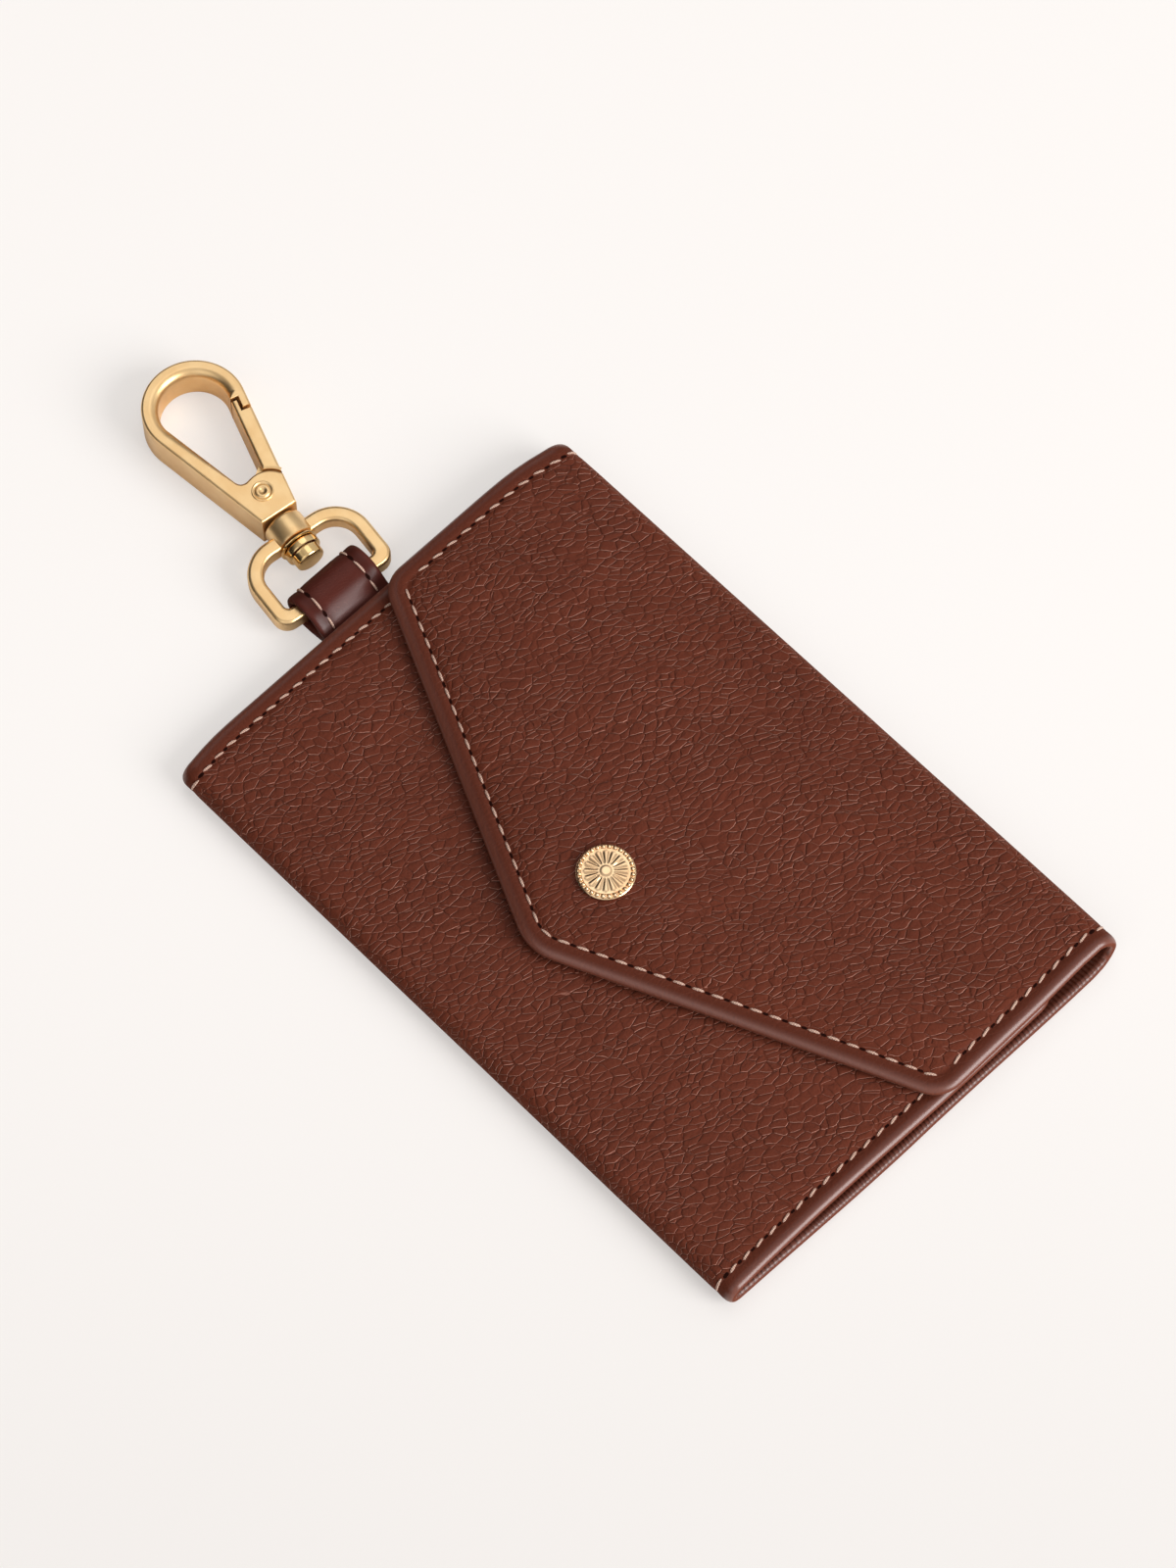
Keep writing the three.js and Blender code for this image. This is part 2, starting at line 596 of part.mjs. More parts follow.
// Plan of the gate, between the round cheeks and the stepped nose, drawn in by a gap on every side
function gatePlan(gap) {
  const outside = -2;
  const inside = HOOK_BAND + 1.2;
  const plan = new THREE.Shape();
  plan.absarc(CHEEK_CENTRE.x, CHEEK_CENTRE.y, CHEEK_R + gap, -1.4, 0.1, false);
  const ends = [
    gateSide(NOSE_STEP - gap, inside),
    gateSide(NOSE_STEP - gap, NOSE_SPLIT + gap),
    gateSide(NOSE_LIP - gap, NOSE_SPLIT + gap),
    gateSide(NOSE_LIP - gap, outside),
  ];
  for (const end of ends) plan.lineTo(end.x, end.y);
  return plan;
}

// Direction of the gate's tongue from the pivot to the middle of its root
const tongueRoot = gateSide(TONGUE_ROOT, HOOK_BAND / 2);
const tongueTurn = Math.atan2(tongueRoot.y, tongueRoot.x - PIVOT);

function pivotHole(radius, low, high) {
  return cylinder(radius, low, high).translate([PIVOT, 0, 0]);
}

function hookBody() {
  const spread = THREE.MathUtils.degToRad(43); // room on both sides of the tongue
  const slotPlan = new THREE.Shape();
  slotPlan.absarc(PIVOT, 0, SLOT_REACH, tongueTurn - spread, tongueTurn + GATE_SWING + spread, false);
  slotPlan.lineTo(PIVOT, 0);
  const slotLow = -SLOT_THICK / 2;
  const slot = plate(slotPlan, slotLow, -slotLow).add(pivotHole(SLOT_R, slotLow, -slotLow));
  const seat = PIN_HEAD_SEAT - GATE_GAP / 4;
  const face = HOOK_THICK;
  return teardrop()
    .subtract(plate(gatePlan(0), -face, face))
    .subtract(slot)
    .subtract(pivotHole(PIN_R + RUNNING, -face, face))
    .subtract(pivotHole(PIN_HEAD_R + RUNNING, seat, face))
    .subtract(pivotHole(PIN_HEAD_R + RUNNING, -face, -seat))
    .subtract(axial(STEM_BORE_R, HOOK_BASE - 1, STEM_END + RUNNING));
}

function gate() {
  const tongue = new THREE.Shape();
  const across = new THREE.Vector2(-Math.sin(tongueTurn), Math.cos(tongueTurn)).multiplyScalar(TONGUE_HALF);
  tongue.moveTo(PIVOT - across.x, -across.y);
  tongue.lineTo(tongueRoot.x - across.x, tongueRoot.y - across.y);
  tongue.lineTo(tongueRoot.x + across.x, tongueRoot.y + across.y);
  tongue.lineTo(PIVOT + across.x, across.y);
  const low = -EYE_THICK / 2;
  const pocket = EYE_POCKET_THICK / 2;
  return teardrop()
    .scale([1, 1, GATE_SHARE])
    .intersect(plate(gatePlan(GATE_GAP), -HOOK_THICK, HOOK_THICK))
    .add(plate(tongue, low, -low))
    .add(pivotHole(EYE_R, low, -low))
    .subtract(pivotHole(PIN_R + RUNNING, -HOOK_THICK, HOOK_THICK))
    .subtract(pivotHole(EYE_POCKET_R, -pocket, pocket));
}

function gatePin() {
  const edge = PIN_HEAD_FACE - PIN_EDGE;
  const half = [
    [PIN_R, PIN_HEAD_SEAT], [PIN_HEAD_R, PIN_HEAD_SEAT], [PIN_HEAD_R, edge], [PIN_HEAD_R - PIN_EDGE, PIN_HEAD_FACE],
    [PIN_DIMPLE_R, PIN_HEAD_FACE], [PIN_DIMPLE_R / 2, edge], [0, edge],
  ];
  const lower = half.map(([radius, height]) => [radius, -height]).reverse();
  return turned([...lower, ...half]).translate([PIVOT, 0, 0]);
}

function gateSpring() {
  const perTurn = 10;
  const steps = COIL_TURNS * perTurn;
  const points = Array.from({ length: steps + 1 }, (_, i) => {
    const angle = (2 * Math.PI * i) / perTurn;
    const height = COIL_PITCH * (i / perTurn - COIL_TURNS / 2);
    return new THREE.Vector3(COIL_R * Math.cos(angle), COIL_R * Math.sin(angle), height);
  });
  return wire(new THREE.CatmullRomCurve3(points), COIL_WIRE_R, steps, 5).translate([PIVOT, 0, 0]);
}

// Assembly

const purse = new THREE.Group();
purse.add(
  part('back_panel', backPanel(), leatherLook),
  part('back_board', backFilling(WALL - BOARD_LOW - LINER, WALL - BOARD_LOW), boardLook),
  part('back_lining', backFilling(WALL - LINER, WALL), liningLook),
  part('bottom_fold', fold(BOTTOM_FOLD_Y, BOTTOM_FOLD_R, -1), leatherLook),
  part('top_fold', fold(TOP_FOLD_Y, TOP_FOLD_R, 1), leatherLook),
  part('gusset_left', gusset(-1), gussetLook),
  part('gusset_right', gusset(1), gussetLook),
  part('tab_loop', tabLoop(), leatherLook),
);

const front = new THREE.Group();
front.add(
  part('front_panel', frontPanel(), leatherLook),
  part('front_board', frontLayer(LAYER_INSET, BOARD_LOW, LINER, 6).subtract(snapHole), boardLook),
  part('front_lining', frontLayer(LAYER_INSET, 0, LINER, 6).subtract(snapHole), liningLook),
  part('snap_stud', snapStud(), steelLook),
  part('snap_eyelet', snapEyelet(), steelLook),
);

const flap = new THREE.Group();
flap.add(
  part('flap', flapPanel(), leatherLook),
  part('flap_board', flapLayer(LAYER_INSET, BOARD_LOW, LINER, 8, 6).subtract(snapHole), boardLook),
  part('flap_lining', flapLayer(LAYER_INSET, 0, LINER, 8, 6).subtract(snapHole), liningLook),
  part('snap_cap', snapCap(), roseLook),
  part('snap_socket', snapSocket(), steelLook),
  part('snap_spring', snapSpring(), steelLook),
);

const clasp = new THREE.Group();
clasp.position.set(BAR_X, TAB_Y, AXIS_Z);
clasp.rotation.z = CLASP_TURN;
clasp.add(
  part('swivel_ring', swivelRing(), goldLook),
  part('swivel_stud', swivelStud(), goldLook),
  part('swivel_collar', swivelCollar(), goldLook),
  part('hook_body', hookBody(), goldLook),
  part('gate', gate(), goldLook),
  part('gate_pin', gatePin(), goldLook),
  part('gate_spring', gateSpring(), steelLook),
);

const object = new THREE.Group();
object.add(purse, front, flap, clasp);

export default object;
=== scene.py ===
# %% [markdown]
# # A leather envelope purse with a swivel hook
# The imported model gives every piece's place and size, in metres. This lesson dresses it: leather walls
# that are cut flat and then folded, stitches laid along the seams, and a gold clasp with satin faces and
# polished edges. The model is loaded first, and the dressed purse's box is measured at the end.

# %% Load the model
import bpy
import json
import math
import numpy as np
from contextlib import contextmanager
from mathutils import Matrix, Vector, noise


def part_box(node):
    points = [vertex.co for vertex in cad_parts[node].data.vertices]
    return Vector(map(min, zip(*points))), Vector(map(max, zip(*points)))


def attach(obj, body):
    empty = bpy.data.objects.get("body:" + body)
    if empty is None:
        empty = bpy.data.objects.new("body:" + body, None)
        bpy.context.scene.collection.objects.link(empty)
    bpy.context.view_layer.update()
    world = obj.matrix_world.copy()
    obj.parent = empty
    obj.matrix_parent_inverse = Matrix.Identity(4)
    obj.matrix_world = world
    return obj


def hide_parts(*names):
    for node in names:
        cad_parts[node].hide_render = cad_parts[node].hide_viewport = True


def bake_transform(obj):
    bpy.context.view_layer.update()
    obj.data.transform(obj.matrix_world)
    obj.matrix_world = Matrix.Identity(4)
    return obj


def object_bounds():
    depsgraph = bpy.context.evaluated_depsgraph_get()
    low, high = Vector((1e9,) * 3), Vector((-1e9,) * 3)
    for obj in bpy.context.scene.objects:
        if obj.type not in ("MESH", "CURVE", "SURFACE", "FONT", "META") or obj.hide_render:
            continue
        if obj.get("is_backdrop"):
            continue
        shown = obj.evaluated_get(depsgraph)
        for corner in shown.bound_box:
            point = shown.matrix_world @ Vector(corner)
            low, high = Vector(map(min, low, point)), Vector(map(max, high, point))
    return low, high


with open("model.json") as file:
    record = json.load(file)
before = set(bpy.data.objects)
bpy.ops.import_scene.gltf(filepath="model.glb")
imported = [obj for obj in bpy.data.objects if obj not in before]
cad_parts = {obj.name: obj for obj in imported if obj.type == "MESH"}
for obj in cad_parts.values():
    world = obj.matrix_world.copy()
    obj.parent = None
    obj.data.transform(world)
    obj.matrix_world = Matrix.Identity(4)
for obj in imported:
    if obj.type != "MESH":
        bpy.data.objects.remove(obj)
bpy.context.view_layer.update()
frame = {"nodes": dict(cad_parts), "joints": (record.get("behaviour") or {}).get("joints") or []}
joints = {joint["name"]: joint for joint in frame["joints"]}
MM = 0.001


def in_mm(metres):
    return [round(v / MM, 1) for v in metres]


# %% [markdown]
# ## Camera
# The photograph looks down on the purse from its front right corner with a long lens. Its angles and
# distance were worked out from the purse's straight edges. The long side of the picture is the sensor's
# 36 mm.

# %% Camera
AZIMUTH, ELEVATION = math.radians(45.41), math.radians(65.72)
CAMERA_DISTANCE = 0.742
CAMERA_LENS, SENSOR = 123.75, 36.0
aim = Vector((-0.0139, 0.0033, 0.0))
level = math.cos(ELEVATION)
towards_camera = Vector((math.sin(AZIMUTH) * level, -math.cos(AZIMUTH) * level, math.sin(ELEVATION)))
scene = bpy.context.scene
camera_data = bpy.data.cameras.new("camera")
camera_data.lens, camera_data.sensor_width = CAMERA_LENS, SENSOR
camera_data.clip_start, camera_data.clip_end = 0.01, 60.0
camera = bpy.data.objects.new("camera", camera_data)
camera.location = aim + CAMERA_DISTANCE * towards_camera
camera.rotation_euler = towards_camera.to_track_quat("Z", "Y").to_euler()
scene.collection.objects.link(camera)
scene.camera = camera
scene.view_settings.view_transform = "Standard"
print("camera at", [round(v, 3) for v in camera.location])

# %% [markdown]
# ## Shaders as sums
# A finish is a tree of nodes. Wiring them by hand takes many lines, so one class wraps an output and
# turns a sum or product into a Math node, and another adds any other node from its type, settings and
# sockets.

# %% Shader maths
class Value:
    """One output of a node. Sums and products of values add Math nodes."""

    def __init__(self, finish, socket):
        self.finish, self.socket = finish, socket

    def math(self, operation, first, second):
        return self.finish.node("ShaderNodeMath", {"operation": operation}, {0: first, 1: second})

    def __add__(self, other):
        return self.math("ADD", self, other)

    def __sub__(self, other):
        return self.math("SUBTRACT", self, other)

    def __rsub__(self, other):
        return self.math("SUBTRACT", other, self)

    def __mul__(self, other):
        return self.math("MULTIPLY", self, other)

    __radd__, __rmul__ = __add__, __mul__


def paint(red, green, blue):
    """A colour as seen on screen, 0 to 255, as Blender's linear colour."""
    parts = [v / 255 for v in (red, green, blue)]
    return tuple(v / 12.92 if v < 0.04045 else ((v + 0.055) / 1.055) ** 2.4 for v in parts) + (1.0,)


# %% Finish
WAVE_LENGTH = 0.314   # a wave texture of scale 1 repeats at this length


class Finish:
    """The node tree of a material or of the world."""

    def __init__(self, owner):
        owner.use_nodes = True
        self.owner, self.tree = owner, owner.node_tree
        self.tree.nodes.clear()

    def node(self, kind, settings=None, sockets=None, out=0):
        """Adds a node from its type, settings and sockets, and gives one of its outputs."""
        made = self.tree.nodes.new(kind)
        for name, value in (settings or {}).items():
            setattr(made, name, value)
        for name, value in (sockets or {}).items():
            if isinstance(value, Value):
                self.tree.links.new(value.socket, made.inputs[name])
            else:
                made.inputs[name].default_value = value
        return Value(self, made.outputs[out]) if made.outputs else None

    def vector(self, operation, *parts, out=0):
        return self.node("ShaderNodeVectorMath", {"operation": operation}, dict(enumerate(parts)), out)

    def millimetres(self):
        place = self.node("ShaderNodeTexCoord", out="Object")
        return self.node("ShaderNodeVectorMath", {"operation": "SCALE"}, {0: place, "Scale": 1 / MM})

    def ramp(self, value, low, high, start=0.0, end=1.0):
        sockets = {"Value": value, "From Min": low, "From Max": high, "To Min": start, "To Max": end}
        return self.node("ShaderNodeMapRange", {"interpolation_type": "SMOOTHSTEP"}, sockets)

    def mix(self, share, first, second):
        return self.node("ShaderNodeMix", {"data_type": "RGBA"}, {0: share, 6: first, 7: second}, out=2)

    def cloud(self, place, scale, detail=2.0, out="Fac"):
        sockets = {"Vector": place, "Scale": scale, "Detail": detail}
        return self.node("ShaderNodeTexNoise", None, sockets, out)

    def cells(self, place, scale):
        settings = {"feature": "DISTANCE_TO_EDGE"}
        return self.node("ShaderNodeTexVoronoi", settings, {"Vector": place, "Scale": scale}, "Distance")

    def wave(self, place, direction, pitch, bent, bend_scale=1.0):
        """Bands that repeat at a pitch in millimetres."""
        sockets = {"Vector": place, "Scale": WAVE_LENGTH / pitch, "Distortion": bent}
        sockets.update({"Detail": 1.0, "Detail Scale": bend_scale})
        settings = {"wave_type": "BANDS", "bands_direction": direction}
        return self.node("ShaderNodeTexWave", settings, sockets, "Fac")

    def surface(self, sockets, height=None, depth=0.0):
        """Ends the tree in a Principled shader. depth is the bump's height in millimetres."""
        if height is not None:
            bump = {"Height": height, "Distance": depth * MM, "Strength": 1.0}
            sockets["Normal"] = self.node("ShaderNodeBump", None, bump)
        shader = self.node("ShaderNodeBsdfPrincipled", None, sockets)
        self.node("ShaderNodeOutputMaterial", None, {"Surface": shader})
        return self.owner


def new_finish(name):
    return Finish(bpy.data.materials.new(name))


# %% [markdown]
# ## Light and floor
# A large soft lamp stands low at the right of the picture, which draws the bright lines on the rounded
# leather edges and throws a soft shadow to the left. Two weak lamps soften it from the front and from
# above. The room is bright towards the large lamp and darker on the other side, so polished metal has
# something to reflect. The floor shows the photograph's pale paper to the camera, and half of that is
# ordinary paint, which keeps the shadow. Metal mirrors only the painted floor, shadow and all.

# %% Light
LAMP_DISTANCE = 2.2
ROOM_DARK, ROOM_BRIGHT = 0.03, 0.66
WARM_WHITE = (1.0, 0.975, 0.95, 1.0)
towards_key = Vector((0.80, 0.27, 0.53)).normalized()


def add_lamp(name, direction, size, power):
    lamp = bpy.data.lights.new(name, "AREA")
    lamp.shape, lamp.size, lamp.energy = "DISK", size, power
    holder = bpy.data.objects.new(name, lamp)
    holder.location = aim + LAMP_DISTANCE * direction
    holder.rotation_euler = direction.to_track_quat("Z", "Y").to_euler()
    scene.collection.objects.link(holder)


add_lamp("key", towards_key, 1.5, 43.0)
add_lamp("fill", Vector((0.1, -0.7, 0.7)).normalized(), 1.6, 3.5)
add_lamp("top", Vector((-0.28, 0.32, 0.9)).normalized(), 1.6, 5.5)

world = bpy.data.worlds.new("studio")
scene.world = world
room = Finish(world)
looking = room.node("ShaderNodeTexCoord", out="Generated")
facing = room.vector("DOT_PRODUCT", looking, towards_key, out="Value")
glow = room.ramp(facing, -0.35, 0.5, ROOM_DARK, ROOM_BRIGHT)
background = room.node("ShaderNodeBackground", None, {"Color": WARM_WHITE, "Strength": glow})
room.node("ShaderNodeOutputWorld", None, {"Surface": background})
print("lamps", [light.name for light in bpy.data.lights])

# %% Floor
FLOOR_SIZE, FLOOR_DROP = 12.0, 0.0002
PAPER_GLOW = 0.5      # share of the paper that shines by itself in the picture
bpy.ops.object.select_all(action="DESELECT")
bpy.ops.mesh.primitive_plane_add(size=FLOOR_SIZE, location=(0.0, 0.0, -FLOOR_DROP))
floor = bpy.context.object
floor.name = "floor"
floor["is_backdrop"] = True
paper = new_finish("pale_paper")
seen = paper.node("ShaderNodeLightPath", out="Is Camera Ray")
through = paper.node("ShaderNodeLightPath", out="Is Transmission Ray")
matt = paper.node("ShaderNodeBsdfDiffuse", None, {"Color": paint(246, 242, 239)})
floor_place = paper.node("ShaderNodeTexCoord", out="Object")
# painted shade: the paper's glow is darker towards the camera
nearer = paper.vector("DOT_PRODUCT", floor_place, (0.71, -0.7, 0.0), out="Value")
strength = paper.ramp(nearer, -0.04, 0.16, 1.02, 0.8)
sockets = {0: paint(255, 251, 248)[:3], "Scale": strength}
shine = paper.node("ShaderNodeVectorMath", {"operation": "SCALE"}, sockets)
lit = paper.node("ShaderNodeEmission", None, {"Color": shine, "Strength": 1.0})
sheet = paper.node("ShaderNodeMixShader", None, {0: (seen + through) * PAPER_GLOW, 1: matt, 2: lit})
paper.node("ShaderNodeOutputMaterial", None, {"Surface": sheet})
floor.data.materials.append(paper.owner)
print("floor of", floor.dimensions.x, "m")

# %% [markdown]
# ## Grained leather
# The skin is tumbled until it creases into long cells. Voronoi cells give the creases: they are stretched
# along the way the skin was pulled and bent by noise, with a second, finer set inside them. The steep side
# of each crease is painted lighter, a painted highlight. Each leather mesh carries the distance to its edge
# as the attribute rim, below zero on its inner skin. The round edge is painted a little paler, a painted
# highlight, and the band beside it is pulled smooth and painted darker, a painted shade. The turned-in
# leather is gathered into ribs and painted darker, a painted shade. A picture of leather could be wrapped
# on instead, but it would repeat and stretch at the folds.

# %% Leather finishes
GRAIN_TURN = math.radians(68)     # the way the skin was pulled


def dimmed(colour, share):
    return tuple(v * share for v in colour[:3]) + (1.0,)


def ribs(skin, place, pitch):
    """The fine gathers of leather that is sewn or turned in, across the length of the purse's sides."""
    return skin.wave(place, "Y", pitch, bent=2.5, bend_scale=0.6)


def grained_leather(name, colour, crease_highlight, edge, rough, depth, cell=1.0, sheen=0.9, pressed=None):
    skin = new_finish(name)
    # noise bends the place slowly, then the cells are drawn out along the pull and bent once more
    place = skin.millimetres()
    wander = skin.cloud(place, 0.04, out="Color")
    place = skin.vector("MULTIPLY_ADD", wander, (6.0, 6.0, 6.0), place)
    sockets = {"Vector": place, "Rotation": (0.0, 0.0, GRAIN_TURN), "Scale": (1.95 * cell, cell, cell)}
    pulled = skin.node("ShaderNodeMapping", {"vector_type": "TEXTURE"}, sockets)
    drift = skin.cloud(pulled, 0.6, 2.5, out="Color")
    drifted = skin.vector("MULTIPLY_ADD", drift, (0.5, 0.6, 0.5), pulled)
    beside = skin.vector("ADD", drifted, (0.0, 0.12, 0.0))
    # the edge is smooth and the inner skin is gathered
    rim = skin.node("ShaderNodeAttribute", {"attribute_name": "rim"}, out="Fac")
    gathered = skin.ramp(rim, -0.05, -0.3) * ribs(skin, place, 0.7)
    open_grain = skin.ramp(rim, 1.8, 4.0, 0.05, 1.0)
    # wide and narrow creases, stronger in some patches. Their steep side is painted lighter, a painted
    # highlight
    wide, narrow = skin.cells(drifted, 1.0), skin.cells(drifted, 1.9)
    steep = skin.ramp(skin.cells(beside, 1.0) - wide, 0.02, 0.1)
    patch = skin.cloud(pulled, 0.25)
    pores = skin.cloud(place, 2.6, 4.0)
    strong = skin.ramp(skin.cloud(pulled, 0.4), 0.35, 0.62, 0.45, 1.0)
    grooves = skin.ramp(wide, 0.0, 0.1, 0.6, 0.0) + skin.ramp(narrow, 0.0, 0.12, 0.1, 0.0)
    relief = skin.ramp(wide, 0.0, 0.35, 0.0, 0.3) - strong * grooves
    height = open_grain * relief + pores * 0.45 + gathered
    glint = skin.ramp(wide, 0.0, 0.05, 1.05, 0.0) * steep + skin.ramp(narrow, 0.0, 0.04, 0.04, 0.0)
    # worn patches; painted shade on the band beside the edge; a painted highlight on the round edge;
    # painted shade on the inner skin
    worn = skin.cloud(pulled, 0.09)
    shade = skin.mix(skin.ramp(worn * 0.6 + patch * 0.4, 0.3, 0.7), dimmed(colour, 0.86), colour)
    shade = skin.mix(skin.ramp(rim, 1.6, 3.2), dimmed(colour, 0.74), shade)
    shade = skin.mix(skin.ramp(rim, 0.3, 1.2), edge, shade)
    shade = skin.mix(skin.ramp(rim, -0.6, -1.2), shade, dimmed(colour, 0.5))
    tone = skin.mix(open_grain * strong * glint, shade, crease_highlight)
    # polish on the round edge, and at the pressed end of the tab
    outer = skin.ramp(rim, 0.03, 0.18) * skin.ramp(rim, 0.5, 1.6, 1.0, 0.05)
    inner = skin.ramp(rim, -0.03, -0.18) * skin.ramp(rim, -1.2, -0.6) * (gathered * 0.6 + 0.4)
    coat = (outer + inner) * sheen
    if pressed:
        along = skin.node("ShaderNodeSeparateXYZ", None, {0: skin.millimetres()}, "X")
        coat = coat + skin.ramp(along, *pressed, 0.12, 0.6)
    sockets = {"Base Color": tone, "Roughness": rough + pores * 0.14, "Specular IOR Level": 0.0}
    sockets.update({"Coat Weight": coat, "Coat Roughness": 0.3, "Coat IOR": 1.6})
    sockets.update({"Sheen Weight": 0.1, "Sheen Roughness": 0.4, "Sheen Tint": (1.0, 0.65, 0.5, 1.0)})
    return skin.surface(sockets, height, depth)


wall_leather = grained_leather(
    "wall_leather", paint(100, 49, 35), paint(205, 146, 128), paint(109, 59, 45), rough=0.58, depth=0.28,
)
tab_leather = grained_leather(
    "glossy_leather", paint(82, 37, 30), paint(108, 60, 50), paint(80, 36, 29), rough=0.33, depth=0.03,
    cell=0.4, sheen=0.05, pressed=(-57.0, -54.5),
)


def crimped_leather(name, colour, fold, pitch, depth):
    """Thin leather that is gathered into ribs all over. The hollows of the ribs take the darker fold
    colour, a painted shade.
    """
    skin = new_finish(name)
    place = skin.millimetres()
    rib, pores = ribs(skin, place, pitch), skin.cloud(place, 2.0, 3.0)
    # the fold colour in the hollows of the ribs is painted shade
    tone = skin.mix(rib * 0.7 + pores * 0.3, fold, colour)
    sockets = {"Base Color": tone, "Roughness": 0.34 + pores * 0.15, "Specular IOR Level": 0.35}
    return skin.surface(sockets, rib + pores * 0.1, depth)


gusset_leather = crimped_leather("thin_crimped_leather", paint(92, 42, 31), paint(56, 24, 18), 0.9, 0.22)
print("leathers", [m.name for m in (wall_leather, tab_leather, gusset_leather)])

# %% [markdown]
# ## Thread, cloth and holes
# The thread is a waxed cream cord: its twist is a fine wave. The lining is a plain weave of brown yarn,
# so two waves cross each other in its bump and colour. The needle holes are flat dark discs, a painted
# shadow of the holes. Yarn and twist are too fine to model, so a bump is enough for them.

# %% Thread and cloth finishes
def woven(name, colour, shadow, pitch, depth, rough):
    cloth = new_finish(name)
    place = cloth.millimetres()
    yarn = cloth.wave(place, "X", pitch, bent=0.4) * cloth.wave(place, "Y", pitch, bent=0.4)
    worn = cloth.cloud(place, 0.5)
    tone = cloth.mix(cloth.ramp(yarn * 0.8 + worn * 0.4, 0.1, 0.8), shadow, colour)
    sockets = {"Base Color": tone, "Roughness": rough + worn * 0.1, "Specular IOR Level": 0.25}
    return cloth.surface(sockets, yarn, depth)


thread = woven("waxed_thread", paint(224, 194, 176), paint(176, 138, 122), 0.28, 0.05, 0.5)
lining_cloth = woven("brown_lining", paint(106, 68, 52), paint(66, 39, 30), 0.4, 0.08, 0.75)
# painted shadow of a needle hole: a flat dark disc on the leather
hole = new_finish("needle_hole_shadow")
hole_shadow_tone = hole.mix(hole.cloud(hole.millimetres(), 2.0), paint(26, 11, 9), paint(40, 18, 14))
hole_shadow = hole.surface({"Base Color": hole_shadow_tone, "Roughness": 0.8, "Specular IOR Level": 0.0})
print("thread, cloth and hole", [m.name for m in (thread, lining_cloth, hole_shadow)])

# %% [markdown]
# ## Metals
# The clasp is cast, tumbled to a satin skin and plated in pale gold, and its edges are polished bright.
# One function makes both: fine noise breaks up the shine of the satin, and the polished edges keep a
# trace of it.

# %% Metal finishes
def plated(name, colour, shade, rough, speckle, depth):
    metal = new_finish(name)
    place = metal.millimetres()
    blast, wear = metal.cloud(place, 6.0, 3.0), metal.cloud(place, 0.35)
    tone = metal.mix(metal.ramp(wear, 0.3, 0.7), shade, colour)
    sockets = {"Base Color": tone, "Roughness": rough + blast * speckle, "Metallic": 1.0}
    return metal.surface(sockets, blast, depth)


satin_gold = plated("satin_plating", paint(240, 205, 152), paint(234, 195, 140), 0.26, 0.2, 0.006)
polished_gold = plated("polished_plating", paint(240, 206, 150), paint(234, 198, 138), 0.1, 0.08, 0.001)
rose_gold = plated("rose_plating", paint(240, 206, 164), paint(230, 190, 146), 0.15, 0.1, 0.003)
steel = plated("bright_steel", paint(196, 196, 198), paint(180, 180, 184), 0.25, 0.15, 0.003)
print("metals", [m.name for m in (satin_gold, polished_gold, rose_gold, steel)])

# %% [markdown]
# ## Working by hand in code
# Every piece is shaped with the operators that a modeller would use. They act on what is selected, so
# each step first selects its piece alone.

# %% Hands
def only(*pieces):
    """Selects these pieces and nothing else. The last one is active."""
    bpy.ops.object.select_all(action="DESELECT")
    for piece in pieces:
        piece.select_set(True)
        bpy.context.view_layer.objects.active = piece
    return pieces[-1]


def new_piece(name, points, faces=(), edges=()):
    mesh = bpy.data.meshes.new(name)
    mesh.from_pydata([tuple(p) for p in points], edges, faces)
    piece = bpy.data.objects.new(name, mesh)
    scene.collection.objects.link(piece)
    return only(piece)


@contextmanager
def editing(piece, kind="VERT"):
    """Edit mode with everything selected."""
    only(piece)
    bpy.ops.object.mode_set(mode="EDIT")
    bpy.ops.mesh.select_mode(type=kind)
    bpy.ops.mesh.select_all(action="SELECT")
    yield
    bpy.ops.object.mode_set(mode="OBJECT")


def face_outwards():
    """In edit mode, turns every face outwards."""
    bpy.ops.mesh.select_all(action="SELECT")
    bpy.ops.mesh.normals_make_consistent(inside=False)


def close_up(piece, merge=1e-6, smooth=40):
    """Merges doubles, turns the faces outwards and smooths all but the sharp edges."""
    with editing(piece):
        bpy.ops.mesh.remove_doubles(threshold=merge)
        face_outwards()
    bpy.ops.object.shade_smooth_by_angle(angle=math.radians(smooth))


def dress(piece, *finishes):
    """Sets the piece's materials, in the order of its faces' material slots."""
    piece.data.materials.clear()
    for finish in finishes:
        piece.data.materials.append(finish)


# %% [markdown]
# ## How the leather is cut and folded
# A purse is made flat: each panel is cut to its outline and then folded. The same is done here. An
# outline becomes one flat face, inset rings follow its edge, and straight cuts divide the middle. The
# flat sheet is doubled into an outer and an inner skin, and every point is carried along a folded line:
# straight, round the fold, straight back. The skins meet in a round turned edge, and the stitch line is
# pulled in. Modelling the folded shape at once would be quicker, but grain, linings and stitches could
# not follow it.

# %% Folded line and outline
def arc(centre, radius, start, end, steps):
    angles = np.radians(np.linspace(start, end, steps + 1))
    return [(centre[0] + radius * math.cos(a), centre[1] + radius * math.sin(a)) for a in angles]


def spaced(points, step):
    """Adds points along the straight runs of an open line so that none is longer than step."""
    line = [np.array(points[0], float)]
    for end in np.array(points[1:], float):
        start = line[-1]
        count = max(1, math.ceil(np.linalg.norm(end - start) / step))
        line += [start + (end - start) * i / count for i in range(1, count + 1)]
    return line


def advance(place, way, bend, run):
    """Place and heading after a run that is straight or turns by bend, in radians per millimetre."""
    angle = way + bend * run
    if bend:
        step = (np.sin(angle) - math.sin(way)) / bend, (math.cos(way) - np.cos(angle)) / bend
    else:
        step = run * math.cos(way), run * math.sin(way)
    return place + np.stack(step, -1), angle


